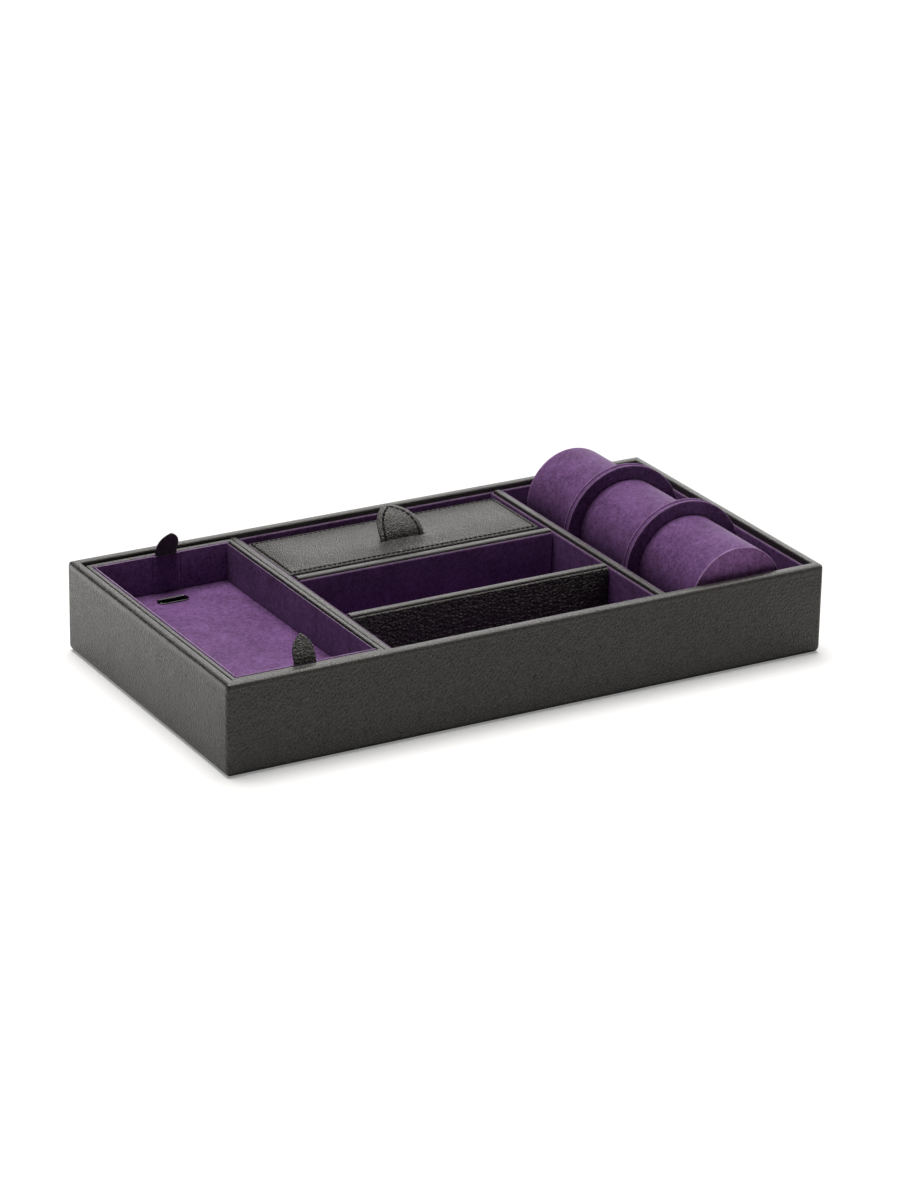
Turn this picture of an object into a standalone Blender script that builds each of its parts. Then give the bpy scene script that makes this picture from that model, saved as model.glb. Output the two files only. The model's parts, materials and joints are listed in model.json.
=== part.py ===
"""Valet tray in black leather: a lift-out insert, a lidded bay, two open bays and a watch roll.

Named values are millimetres; meshes are made in metres. The origin is the middle of the
underside, +X points right, +Y to the back and +Z up.
"""

import math

import bmesh
import bpy

MM = 0.001

# Outer tray
TRAY_WIDTH = 370.0
TRAY_DEPTH = 196.0
TRAY_HEIGHT = 53.0
WALL = 5.8
CORNER_RADIUS = 2.5
RIM_OUTER_RADIUS = 1.6
RIM_INNER_RADIUS = 1.3
FOOT_RADIUS = 4.0
LEATHER = 0.8
TURN_UNDER = 9.0
BASE_BOARD = 2.0
FLOOR_LINING = 0.6
EDGE_EASE = 0.5

# Running clearance between pieces that are glued or rest on each other
GAP = 0.3

# Bays and dividers
LEFT_BAY_WIDTH = 91.0
RIGHT_BAY_WIDTH = 92.9
BACK_BAY_DEPTH = 66.8
FRONT_BAY_DEPTH = 52.5
DIVIDER = 4.4
DIVIDER_DROP = 1.8
DIVIDER_ROUND = 1.2
DIVIDER_SKIN = 0.7
LINER = 1.8
LINER_DROP = 3.0

# Lift-out insert
INSERT_CLEARANCE = 0.4
INSERT_BACK_CLEARANCE = 3.1
INSERT_DROP = 0.9
INSERT_WALL = 3.3
INSERT_SKIN = 0.7
INSERT_DEPTH = 22.5
INSERT_BOARD = 1.8
INSERT_TURN_UNDER = 6.0
INSERT_ROUND = 1.1
INSERT_CORNER = 2.0
PANEL = 1.5
PANEL_DROP = 0.2
SUPPORT_WIDTH = 6.0
SUPPORT_LENGTH = 160.0

# Cable slot in the insert's floor
SLOT_LENGTH = 16.6
SLOT_WIDTH = 4.6
SLOT_FROM_BACK = 18.3
GROMMET_WALL = 0.8
GROMMET_FLANGE = 1.3
GROMMET_PROUD = 0.8
GROMMET_EASE = 0.3

# Pull tabs of the insert
TAB_TIP = 1.2
TAB_ROOT_SHARE = 0.25
PULL_WIDTH = 13.2
PULL_LENGTH_BACK = 17.2
PULL_LENGTH_FRONT = 16.0
PULL_THICKNESS = 1.2
PULL_TAIL = 14.0
PULL_LEAN = 20.0
PULL_CURL_BACK = 20.0
PULL_CURL_FRONT = 10.0
PULL_SHIFT_BACK = 2.6
PULL_SHIFT_FRONT = -0.6
TAIL_STRIP_WIDTH = 16.4
TAIL_STRIP_PROUD = 0.9
TAIL_STRIP_CHAMFER = 0.8

# Padded lid of the back bay
LID_DEPTH = 52.0
LID_SIDE_GAP = 0.8
LID_EDGE_DROP = 3.7
LID_PAD = 1.8
LID_CROWN = 1.6
LID_CROWN_RUN = 12.0
LID_EDGE_EASE = 0.8
LID_BOARD = 2.0
LID_SKIRT = 0.8
LID_LINING = 0.6
LID_LEDGE_WIDTH = 4.0
LID_LEDGE_HEIGHT = 6.0
LID_TAB_WIDTH = 27.4
LID_TAB_LENGTH = 25.0
LID_TAB_THICKNESS = 1.6
LID_TAB_FROM_FRONT = 16.3
LID_TAB_LEAN = 22.0
LID_TAB_BEND = 62.0

# Watch roll
ROLL_RADIUS = 29.2
ROLL_COVER = 0.8
ROLL_END_CLEARANCE = 1.7
HOOP_HEIGHT = 8.1
HOOP_WIDTH = 5.0
HOOP_SPACING = 63.5
HOOP_FLAT = 1.7

# Fineness of the curved faces, and how far cutting guides run past a face
ROUND_STEPS = 60
CORNER_STEPS = 3
EDGE_STEPS = 3
SLOT_STEPS = 6
TAB_STEPS = 12
LID_COLUMNS = 26
LID_ROWS = 12
SMOOTH_ANGLE = 35.0
OVERSHOOT = 1.0
SMALLEST_RADIUS = 0.05

# Levels worked out from the sizes above
BOARD_BOTTOM = LEATHER + GAP
BOARD_TOP = BOARD_BOTTOM + BASE_BOARD
STAND = BOARD_TOP + GAP
FLOOR = STAND + FLOOR_LINING
LINER_FOOT = FLOOR + GAP
LINER_TOP = TRAY_HEIGHT - LINER_DROP
DIVIDER_TOP = TRAY_HEIGHT - DIVIDER_DROP

# Faces worked out from the sizes above
INNER_X = TRAY_WIDTH / 2 - WALL
INNER_Y = TRAY_DEPTH / 2 - WALL
LEFT_DIVIDER_X = (-INNER_X + LEFT_BAY_WIDTH, -INNER_X + LEFT_BAY_WIDTH + DIVIDER)
RIGHT_DIVIDER_X = (INNER_X - RIGHT_BAY_WIDTH - DIVIDER, INNER_X - RIGHT_BAY_WIDTH)
BACK_DIVIDER_Y = (INNER_Y - BACK_BAY_DEPTH - DIVIDER, INNER_Y - BACK_BAY_DEPTH)
FRONT_DIVIDER_Y = (-INNER_Y + FRONT_BAY_DEPTH, -INNER_Y + FRONT_BAY_DEPTH + DIVIDER)
LINED_Y = INNER_Y - GAP - LINER
LINED_RIGHT = INNER_X - GAP - LINER
MIDDLE_X = (LEFT_DIVIDER_X[1] + GAP + LINER, RIGHT_DIVIDER_X[0] - GAP - LINER)
ROLL_BAY_LEFT = RIGHT_DIVIDER_X[1] + GAP + LINER

# Insert, worked out from its bay
INSERT_X = (-INNER_X + INSERT_CLEARANCE, LEFT_DIVIDER_X[0] - INSERT_CLEARANCE)
INSERT_CENTRE_X = sum(INSERT_X) / 2
INSERT_HALF_X = (INSERT_X[1] - INSERT_X[0]) / 2
INSERT_Y = (-INNER_Y + INSERT_CLEARANCE, INNER_Y - INSERT_BACK_CLEARANCE)
INSERT_CENTRE_Y = sum(INSERT_Y) / 2
INSERT_HALF_Y = (INSERT_Y[1] - INSERT_Y[0]) / 2
INSERT_TOP = TRAY_HEIGHT - INSERT_DROP
INSERT_FLOOR = INSERT_TOP - INSERT_DEPTH
INSERT_BOARD_TOP = INSERT_FLOOR - FLOOR_LINING - GAP
INSERT_BOARD_BOTTOM = INSERT_BOARD_TOP - INSERT_BOARD
INSERT_BOTTOM = INSERT_BOARD_BOTTOM - GAP - INSERT_SKIN
PANEL_TOP = INSERT_TOP - PANEL_DROP

# Hoops, which stand round the roll
HOOP_RADIUS = ROLL_RADIUS + GAP + HOOP_HEIGHT


def clear_scene():
    for obj in list(bpy.data.objects):
        bpy.data.objects.remove(obj, do_unlink=True)


def make_material(name, colour, roughness):
    """A Principled material; colour is linear RGB."""
    mat = bpy.data.materials.new(name)
    mat.use_nodes = True
    shader = mat.node_tree.nodes["Principled BSDF"]
    shader.inputs["Base Color"].default_value = (*colour, 1.0)
    shader.inputs["Roughness"].default_value = roughness
    shader.inputs["Metallic"].default_value = 0.0
    mat.diffuse_color = (*colour, 1.0)
    return mat


def add_object(name, bm, mat=None, smooth=False):
    """Turns a bmesh in millimetres into a named object in metres."""
    bmesh.ops.recalc_face_normals(bm, faces=bm.faces)
    bmesh.ops.scale(bm, vec=(MM, MM, MM), verts=bm.verts)
    mesh = bpy.data.meshes.new(name)
    bm.to_mesh(mesh)
    bm.free()
    if mat is not None:
        mesh.materials.append(mat)
    if smooth:
        mesh.shade_smooth()
        mesh.set_sharp_from_angle(angle=math.radians(SMOOTH_ANGLE))
    obj = bpy.data.objects.new(name, mesh)
    bpy.context.scene.collection.objects.link(obj)
    return obj


def arc(cx, cy, radius, start, end, steps):
    """Points on an arc in degrees, both ends included."""
    points = []
    for i in range(steps + 1):
        a = math.radians(start + (end - start) * i / steps)
        points.append((cx + radius * math.cos(a), cy + radius * math.sin(a)))
    return points


def rounded_rectangle(half_x, half_y, radius, centre=(0.0, 0.0), steps=CORNER_STEPS):
    """Outline points, counter-clockwise, with the same count for any radius."""
    r = max(radius, SMALLEST_RADIUS)
    points = []
    for sx, sy, start in ((1, 1, 0), (-1, 1, 90), (-1, -1, 180), (1, -1, 270)):
        cx = centre[0] + sx * (half_x - r)
        cy = centre[1] + sy * (half_y - r)
        points += arc(cx, cy, r, start, start + 90, steps)
    return points


def loop_of(bm, outline, z):
    return [bm.verts.new((x, y, z)) for x, y in outline]


def bridge(bm, lower, upper):
    for i in range(len(lower)):
        j = (i + 1) % len(lower)
        bm.faces.new((lower[i], lower[j], upper[j], upper[i]))


def box(name, x, y, z, mat=None):
    """A block between two values on each axis."""
    bm = bmesh.new()
    bottom = loop_of(bm, ((x[0], y[0]), (x[1], y[0]), (x[1], y[1]), (x[0], y[1])), z[0])
    top = loop_of(bm, ((x[0], y[0]), (x[1], y[0]), (x[1], y[1]), (x[0], y[1])), z[1])
    bridge(bm, bottom, top)
    bm.faces.new(bottom)
    bm.faces.new(top)
    return add_object(name, bm, mat)


def stack(name, outlines, mat=None):
    """A solid through outlines at rising heights, closed at both ends: [(outline, z), ...]."""
    bm = bmesh.new()
    loops = [loop_of(bm, outline, z) for outline, z in outlines]
    for lower, upper in zip(loops, loops[1:]):
        bridge(bm, lower, upper)
    bm.faces.new(loops[0])
    bm.faces.new(loops[-1])
    return add_object(name, bm, mat)


def swept_frame(name, section, half_x, half_y, corner, mat, centre=(0.0, 0.0)):
    """A closed section of (inset, z) points carried round a rounded rectangle."""
    bm = bmesh.new()
    loops = []
    for inset, z in section:
        outline = rounded_rectangle(half_x - inset, half_y - inset, corner - inset, centre)
        loops.append(loop_of(bm, outline, z))
    for lower, upper in zip(loops, loops[1:] + loops[:1]):
        bridge(bm, lower, upper)
    return add_object(name, bm, mat, smooth=True)


def extrude_section(name, section, start, end, axis, mat):
    """A closed section of (across, z) points pushed along X or Y from start to end."""
    bm = bmesh.new()
    rings = []
    for along in (start, end):
        if axis == "X":
            rings.append([bm.verts.new((along, a, z)) for a, z in section])
        else:
            rings.append([bm.verts.new((a, along, z)) for a, z in section])
    bridge(bm, rings[0], rings[1])
    bm.faces.new(rings[0])
    bm.faces.new(rings[1])
    return add_object(name, bm, mat, smooth=True)


def eased_board(across, z):
    """Section of a board with its two top edges eased."""
    a, b = across
    low, high = z
    return [(a, low), (b, low), (b, high - EDGE_EASE), (b - EDGE_EASE, high),
            (a + EDGE_EASE, high), (a, high - EDGE_EASE)]


def wrap_section(wall, skin, bottom, top, inner_foot, foot, turn_under, rim_out, rim_in):
    """Leather over a wall: under the base, up outside, over the rim and down inside."""
    outer = [(turn_under, bottom)]
    outer += arc(foot, bottom + foot, foot, 270, 180, EDGE_STEPS)
    outer += arc(rim_out, top - rim_out, rim_out, 180, 90, EDGE_STEPS)
    outer += arc(wall - rim_in, top - rim_in, rim_in, 90, 0, EDGE_STEPS)
    outer += [(wall, inner_foot)]
    inner = [(wall - skin, inner_foot)]
    inner += arc(wall - rim_in, top - rim_in, max(rim_in - skin, 0.1), 0, 90, EDGE_STEPS)
    inner += arc(rim_out, top - rim_out, max(rim_out - skin, 0.1), 90, 180, EDGE_STEPS)
    inner += arc(foot, bottom + foot, max(foot - skin, 0.1), 180, 270, EDGE_STEPS)
    inner += [(turn_under, bottom + skin)]
    return outer + inner


def divider_wrap_section(across, foot, top):
    """Leather folded over a divider, open at the bottom."""
    a, b = across
    r = DIVIDER_ROUND
    skin = DIVIDER_SKIN
    outer = [(a, foot)]
    outer += arc(a + r, top - r, r, 180, 90, EDGE_STEPS)
    outer += arc(b - r, top - r, r, 90, 0, EDGE_STEPS)
    outer += [(b, foot), (b - skin, foot)]
    inner = arc(b - r, top - r, r - skin, 0, 90, EDGE_STEPS)
    inner += arc(a + r, top - r, r - skin, 90, 180, EDGE_STEPS)
    return outer + inner + [(a + skin, foot)]


def cut(obj, cutters):
    """Subtracts guide objects, which stay in the file as wire guides."""
    for cutter in cutters:
        cutter.hide_render = True
        cutter.display_type = "WIRE"
        modifier = obj.modifiers.new("cut", "BOOLEAN")
        modifier.operation = "DIFFERENCE"
        modifier.solver = "EXACT"
        modifier.object = cutter


def pill(half_length, half_width, centre):
    """Outline of a slot with round ends, lying along X."""
    cx, cy = centre
    run = half_length - half_width
    points = arc(cx + run, cy, half_width, -90, 90, SLOT_STEPS)
    points += arc(cx - run, cy, half_width, 90, 270, SLOT_STEPS)
    return points


def gothic_width(along, length, width):
    """Width of a tab that ends in an equilateral pointed arch, its tip a little blunt."""
    arch = width * math.sqrt(0.75)
    rise = max(along - (length - arch), 0.0)
    half = math.sqrt(max(width ** 2 - rise ** 2, 0.0)) - width / 2
    return max(2 * half, TAB_TIP)


def strip_solid(name, stations, thickness, mat):
    """A leather strip along a path: stations are (x centre, y, z, normal angle, width)."""
    bm = bmesh.new()
    rings = []
    for x, y, z, angle, width in stations:
        ny = math.cos(angle) * thickness / 2
        nz = math.sin(angle) * thickness / 2
        half = width / 2
        corners = ((-half, -1), (half, -1), (half, 1), (-half, 1))
        rings.append([bm.verts.new((x + dx, y + s * ny, z + s * nz)) for dx, s in corners])
    for lower, upper in zip(rings, rings[1:]):
        bridge(bm, lower, upper)
    bm.faces.new(rings[0])
    bm.faces.new(rings[-1])
    return add_object(name, bm, mat, smooth=True)


def tab_stations(x, y, z, tail, length, width, way, bend, curl):
    """Stations of a tab: a straight tail, then a tongue that leans towards way (+1 or -1).

    bend is the lean at the root and curl the further lean gained by the tip, in degrees.
    """
    stations = [(x, y, z - tail, 0.0, width), (x, y, z, 0.0, width)]
    step = length / TAB_STEPS
    for i in range(1, TAB_STEPS + 1):
        t = i / TAB_STEPS
        lean = math.radians(bend * min(1.0, t / TAB_ROOT_SHARE) + curl * t)
        y += way * math.sin(lean) * step
        z += math.cos(lean) * step
        stations.append((x, y, z, -way * lean, gothic_width(t * length, length, width)))
    return stations


def build_case(mats):
    """Boards, the leather round them and the sheet under the base."""
    half_x = TRAY_WIDTH / 2
    half_y = TRAY_DEPTH / 2
    section = wrap_section(WALL, LEATHER, 0.0, TRAY_HEIGHT, STAND, FOOT_RADIUS, TURN_UNDER,
                           RIM_OUTER_RADIUS, RIM_INNER_RADIUS)
    swept_frame("outer_wrap", section, half_x, half_y, CORNER_RADIUS, mats["leather"])

    hidden = LEATHER + GAP
    foot = FOOT_RADIUS
    reach = foot - hidden
    levels = []
    for i in range(EDGE_STEPS + 1):
        z = BOARD_BOTTOM + BASE_BOARD * i / EDGE_STEPS
        drop = min(max(foot - z, 0.0), reach)
        inset = foot - math.sqrt(reach ** 2 - drop ** 2)
        outline = rounded_rectangle(half_x - inset, half_y - inset, CORNER_RADIUS - hidden)
        levels.append((outline, z))
    stack("base_board", levels, mats["board"])

    board = (STAND, TRAY_HEIGHT - LEATHER - GAP)
    thick = WALL - 2 * hidden
    run = half_x - max(CORNER_RADIUS, hidden)
    near = half_y - hidden
    extrude_section("front_board", eased_board((-near, -near + thick), board),
                    -run, run, "X", mats["board"])
    extrude_section("back_board", eased_board((near - thick, near), board),
                    -run, run, "X", mats["board"])
    side = half_x - hidden
    span = near - thick - GAP
    extrude_section("left_board", eased_board((-side, -side + thick), board),
                    -span, span, "Y", mats["board"])
    extrude_section("right_board", eased_board((side - thick, side), board),
                    -span, span, "Y", mats["board"])

    edge = TURN_UNDER + GAP
    outline = rounded_rectangle(half_x - edge, half_y - edge, CORNER_RADIUS)
    stack("base_cover", [(outline, 0.0), (outline, LEATHER)], mats["base"])


def build_divider(name, across, start, end, axis, mats):
    """A board with leather folded over it."""
    inside = (across[0] + DIVIDER_SKIN + GAP, across[1] - DIVIDER_SKIN - GAP)
    top = DIVIDER_TOP - DIVIDER_SKIN - GAP
    extrude_section(name + "_board", eased_board(inside, (STAND, top)),
                    start, end, axis, mats["board"])
    extrude_section(name + "_wrap", divider_wrap_section(across, STAND, DIVIDER_TOP),
                    start, end, axis, mats["leather"])


def build_dividers(mats):
    long_reach = INNER_Y - GAP
    lined_reach = LINED_Y - GAP
    build_divider("left_divider", LEFT_DIVIDER_X, -long_reach, long_reach, "Y", mats)
    build_divider("right_divider", RIGHT_DIVIDER_X, -lined_reach, lined_reach, "Y", mats)
    cross = (MIDDLE_X[0] + GAP, MIDDLE_X[1] - GAP)
    build_divider("back_divider", BACK_DIVIDER_Y, *cross, "X", mats)
    build_divider("front_divider", FRONT_DIVIDER_Y, *cross, "X", mats)


def build_linings(mats):
    """Suede sheets on the floors and suede panels on the walls of each bay."""
    suede = mats["suede"]
    floor = (STAND, FLOOR)
    full = (-INNER_Y + GAP, INNER_Y - GAP)
    middle = (LEFT_DIVIDER_X[1] + GAP, RIGHT_DIVIDER_X[0] - GAP)
    box("left_floor_lining", (-INNER_X + GAP, LEFT_DIVIDER_X[0] - GAP), full, floor, suede)
    box("right_floor_lining", (RIGHT_DIVIDER_X[1] + GAP, INNER_X - GAP), full, floor, suede)
    box("back_floor_lining", middle, (BACK_DIVIDER_Y[1] + GAP, full[1]), floor, suede)
    box("middle_floor_lining", middle,
        (FRONT_DIVIDER_Y[1] + GAP, BACK_DIVIDER_Y[0] - GAP), floor, suede)
    box("front_floor_lining", middle, (full[0], FRONT_DIVIDER_Y[0] - GAP), floor, suede)

    tall = (LINER_FOOT, LINER_TOP)
    long_x = (LEFT_DIVIDER_X[1] + GAP, INNER_X - GAP)
    box("back_wall_liner", long_x, (LINED_Y, INNER_Y - GAP), tall, suede)
    box("front_wall_liner", long_x, (-INNER_Y + GAP, -LINED_Y), tall, suede)
    between = (-LINED_Y + GAP, LINED_Y - GAP)
    box("right_wall_liner", (LINED_RIGHT, INNER_X - GAP), between, tall, suede)
    box("roll_bay_liner", (RIGHT_DIVIDER_X[1] + GAP, ROLL_BAY_LEFT), between, tall, suede)
    box("left_divider_liner", (LEFT_DIVIDER_X[1] + GAP, MIDDLE_X[0]), between, tall, suede)
    box("right_divider_liner", (MIDDLE_X[1], RIGHT_DIVIDER_X[0] - GAP), between, tall, suede)

    cross = (MIDDLE_X[0] + GAP, MIDDLE_X[1] - GAP)
    panels = (("lid_bay_panel", BACK_DIVIDER_Y[1] + GAP, suede),
              ("middle_bay_back_panel", BACK_DIVIDER_Y[0] - GAP - LINER, suede),
              ("middle_bay_front_panel", FRONT_DIVIDER_Y[1] + GAP, suede),
              ("front_bay_leather_panel", FRONT_DIVIDER_Y[0] - GAP - LINER, mats["leather"]))
    for name, y, mat in panels:
        box(name, cross, (y, y + LINER), tall, mat)


def build_insert(mats):
    """The lift-out insert: wrapped frame, floor, suede panels, slot grommet and pull tabs."""
    centre = (INSERT_CENTRE_X, INSERT_CENTRE_Y)
    section = wrap_section(INSERT_WALL, INSERT_SKIN, INSERT_BOTTOM, INSERT_TOP,
                           INSERT_BOARD_TOP + GAP, INSERT_ROUND, INSERT_TURN_UNDER,
                           INSERT_ROUND, INSERT_ROUND)
    swept_frame("insert_wrap", section, INSERT_HALF_X, INSERT_HALF_Y, INSERT_CORNER,
                mats["leather"], centre)

    hidden = INSERT_SKIN + GAP
    frame_in = INSERT_WALL - INSERT_SKIN - GAP
    low = INSERT_BOARD_TOP + GAP
    high = INSERT_TOP - hidden
    frame = [(hidden, low), (hidden, high - EDGE_EASE), (hidden + EDGE_EASE, high),
             (frame_in - EDGE_EASE, high), (frame_in, high - EDGE_EASE), (frame_in, low)]
    swept_frame("insert_frame", frame, INSERT_HALF_X, INSERT_HALF_Y, INSERT_CORNER,
                mats["board"], centre)

    slot_centre = (INSERT_CENTRE_X, INSERT_Y[1] - SLOT_FROM_BACK)
    hole = (SLOT_LENGTH / 2 + GROMMET_WALL + GAP, SLOT_WIDTH / 2 + GROMMET_WALL + GAP)
    outline = rounded_rectangle(INSERT_HALF_X - hidden, INSERT_HALF_Y - hidden,
                                INSERT_CORNER - hidden, centre)
    board = stack("insert_base_board", [(outline, INSERT_BOARD_BOTTOM), (outline, INSERT_BOARD_TOP)],
                  mats["board"])
    inset = INSERT_WALL + GAP
    outline = rounded_rectangle(INSERT_HALF_X - inset, INSERT_HALF_Y - inset, 0.0, centre)
    lining = stack("insert_floor_lining",
                   [(outline, INSERT_FLOOR - FLOOR_LINING), (outline, INSERT_FLOOR)], mats["suede"])
    opening = pill(*hole, slot_centre)
    for plate, z in ((board, (INSERT_BOARD_BOTTOM, INSERT_BOARD_TOP)),
                     (lining, (INSERT_FLOOR - FLOOR_LINING, INSERT_FLOOR))):
        guide = stack("slot_guide_" + plate.name,
                      [(opening, z[0] - OVERSHOOT), (opening, z[1] + OVERSHOOT)])
        cut(plate, [guide])

    build_grommet(slot_centre, mats)
    build_insert_panels(mats)


def build_grommet(centre, mats):
    """An oval plastic ring with a flange that lies on the suede."""
    inner = (SLOT_LENGTH / 2, SLOT_WIDTH / 2)
    body = (inner[0] + GROMMET_WALL, inner[1] + GROMMET_WALL)
    flange = (inner[0] + GROMMET_FLANGE, inner[1] + GROMMET_FLANGE)
    seat = INSERT_FLOOR + GAP
    top = INSERT_FLOOR + GROMMET_PROUD
    ease = GROMMET_EASE
    rings = ((inner, INSERT_BOARD_BOTTOM), (body, INSERT_BOARD_BOTTOM), (body, seat),
             (flange, seat), (flange, top - ease), ((flange[0] - ease, flange[1] - ease), top),
             ((inner[0] + ease, inner[1] + ease), top), (inner, top - ease))
    bm = bmesh.new()
    loops = [loop_of(bm, pill(*size, centre), z) for size, z in rings]
    for lower, upper in zip(loops, loops[1:] + loops[:1]):
        bridge(bm, lower, upper)
    add_object("slot_grommet", bm, mats["plastic"], smooth=True)


def build_insert_panels(mats):
    """Suede panels inside the insert; the two end panels hold the tails of the pull tabs."""
    foot = INSERT_FLOOR + GAP
    tall = (foot, PANEL_TOP)
    inset = INSERT_WALL + GAP
    left = INSERT_X[0] + inset
    right = INSERT_X[1] - inset
    tail_room = PULL_THICKNESS + GAP
    half = TAIL_STRIP_WIDTH / 2
    crest = half - TAIL_STRIP_CHAMFER
    for side, way, shift, length, curl in (
            ("back", 1, PULL_SHIFT_BACK, PULL_LENGTH_BACK, PULL_CURL_BACK),
            ("front", -1, PULL_SHIFT_FRONT, PULL_LENGTH_FRONT, PULL_CURL_FRONT)):
        strip = PANEL + TAIL_STRIP_PROUD
        outer = INSERT_CENTRE_Y + way * (INSERT_HALF_Y - inset)
        flat = outer - way * PANEL
        proud = outer - way * strip
        cx = INSERT_CENTRE_X + shift
        outline = [(left, outer), (left, flat), (cx - half, flat), (cx - crest, proud),
                   (cx + crest, proud), (cx + half, flat), (right, flat), (right, outer)]
        panel = stack("insert_%s_panel" % side, [(outline, tall[0]), (outline, tall[1])],
                      mats["suede"])
        pocket_x = (cx - PULL_WIDTH / 2 - GAP, cx + PULL_WIDTH / 2 + GAP)
        pocket_y = sorted((outer + way * OVERSHOOT, outer - way * tail_room))
        pocket_z = (PANEL_TOP - PULL_TAIL - GAP, PANEL_TOP + OVERSHOOT)
        guide = box("tail_guide_" + side, pocket_x, pocket_y, pocket_z)
        cut(panel, [guide])

        tab_y = outer - way * PULL_THICKNESS / 2
        stations = tab_stations(cx, tab_y, PANEL_TOP, PULL_TAIL, length, PULL_WIDTH, -way,
                                PULL_LEAN, curl)
        strip_solid("insert_%s_pull_tab" % side, stations, PULL_THICKNESS, mats["leather"])

    reach = INSERT_HALF_Y - inset - PANEL - GAP
    between = (INSERT_CENTRE_Y - reach, INSERT_CENTRE_Y + reach)
    box("insert_left_panel", (left, left + PANEL), between, tall, mats["suede"])
    box("insert_right_panel", (right - PANEL, right), between, tall, mats["suede"])


def build_insert_supports(mats):
    """Two rails on the floor that carry the insert above the cable space."""
    tall = (LINER_FOOT, INSERT_BOTTOM - GAP)
    run = (-SUPPORT_LENGTH / 2, SUPPORT_LENGTH / 2)
    left = -INNER_X + GAP
    right = LEFT_DIVIDER_X[0] - GAP
    box("insert_left_rail", (left, left + SUPPORT_WIDTH), run, tall, mats["suede"])
    box("insert_right_rail", (right - SUPPORT_WIDTH, right), run, tall, mats["suede"])


def crowned_block(name, x, y, z_low, z_edge, crown, run, mat):
    """A block whose top swells from its edges to a flat crown, as padded leather does."""
    columns = LID_COLUMNS
    rows = LID_ROWS
    ease = LID_EDGE_EASE

    def share(i, count):
        """Grid lines drawn closer together near the edges."""
        t = i / count
        return 0.5 - 0.5 * math.cos(math.pi * t)

    def swell(distance):
        return math.sin(min(distance / run, 1.0) * math.pi / 2)

    bm = bmesh.new()
    grid = []
    for j in range(rows + 1):
        py = y[0] + ease + (y[1] - y[0] - 2 * ease) * share(j, rows)
        row = []
        for i in range(columns + 1):
            px = x[0] + ease + (x[1] - x[0] - 2 * ease) * share(i, columns)
            near = swell(min(px - x[0], x[1] - px)) * swell(min(py - y[0], y[1] - py))
            row.append(bm.verts.new((px, py, z_edge + crown * near)))
        grid.append(row)
    for j in range(rows):
        for i in range(columns):
            bm.faces.new((grid[j][i], grid[j][i + 1], grid[j + 1][i + 1], grid[j + 1][i]))
    rim = [(0, i) for i in range(columns)] + [(j, columns) for j in range(rows)]
    rim += [(rows, i) for i in range(columns, 0, -1)] + [(j, 0) for j in range(rows, 0, -1)]
    top = []
    shoulder = []
    foot = []
    for j, i in rim:
        vert = grid[j][i]
        px = x[0] if i == 0 else x[1] if i == columns else vert.co.x
        py = y[0] if j == 0 else y[1] if j == rows else vert.co.y
        top.append(vert)
        shoulder.append(bm.verts.new((px, py, z_edge - ease)))
        foot.append(bm.verts.new((px, py, z_low)))
    bridge(bm, top, shoulder)
    bridge(bm, shoulder, foot)
    bm.faces.new(foot)
    return add_object(name, bm, mat, smooth=True)


def build_lid(mats):
    """The padded lid, its tab and the two ledges that carry its ends."""
    x = (MIDDLE_X[0] + LID_SIDE_GAP, MIDDLE_X[1] - LID_SIDE_GAP)
    bay = (BACK_DIVIDER_Y[1] + GAP + LINER, LINED_Y)
    middle_y = sum(bay) / 2
    y = (middle_y - LID_DEPTH / 2, middle_y + LID_DEPTH / 2)
    edge = TRAY_HEIGHT - LID_EDGE_DROP
    board_top = edge - LID_PAD - GAP
    board_bottom = board_top - LID_BOARD
    lining_top = board_bottom - GAP
    ledge_top = lining_top - LID_LINING - GAP

    cover = crowned_block("lid_cover", x, y, board_bottom, edge, LID_CROWN, LID_CROWN_RUN,
                          mats["leather"])
    inset = LID_SKIRT + GAP
    board_x = (x[0] + inset, x[1] - inset)
    board_y = (y[0] + inset, y[1] - inset)
    box("lid_board", board_x, board_y, (board_bottom, board_top), mats["board"])
    box("lid_lining", (x[0] + inset, x[1] - inset), (y[0] + inset, y[1] - inset),
        (lining_top - LID_LINING, lining_top), mats["suede"])
    recess = box("lid_recess_guide", (x[0] + LID_SKIRT, x[1] - LID_SKIRT),
                 (y[0] + LID_SKIRT, y[1] - LID_SKIRT), (board_bottom - OVERSHOOT, board_top + GAP))
    cx = sum(x) / 2
    tab_y = y[0] + LID_TAB_FROM_FRONT
    half = LID_TAB_WIDTH / 2 + GAP
    reach = LID_TAB_THICKNESS / 2 + GAP
    top = edge + LID_CROWN
    slit = box("lid_slit_guide", (cx - half, cx + half), (tab_y - reach, tab_y + reach),
               (board_top - OVERSHOOT, top + OVERSHOOT))
    cut(cover, [recess, slit])

    tail = top - board_top - 2 * GAP
    stations = tab_stations(cx, tab_y, top, tail, LID_TAB_LENGTH, LID_TAB_WIDTH, 1,
                            LID_TAB_LEAN, LID_TAB_BEND)
    strip_solid("lid_tab", stations, LID_TAB_THICKNESS, mats["leather"])

    ledge_z = (ledge_top - LID_LEDGE_HEIGHT, ledge_top)
    left = MIDDLE_X[0] + GAP
    right = MIDDLE_X[1] - GAP
    box("lid_left_ledge", (left, left + LID_LEDGE_WIDTH), y, ledge_z, mats["suede"])
    box("lid_right_ledge", (right - LID_LEDGE_WIDTH, right), y, ledge_z, mats["suede"])


def circle(radius, centre, flat_below=None):
    """Points of a circle in the XZ plane, with an optional flat spot at the bottom."""
    points = []
    for i in range(ROUND_STEPS):
        a = 2 * math.pi * (i + 0.5) / ROUND_STEPS
        z = centre[1] + radius * math.sin(a)
        if flat_below is not None:
            z = max(z, flat_below)
        points.append((centre[0] + radius * math.cos(a), z))
    return points


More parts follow.
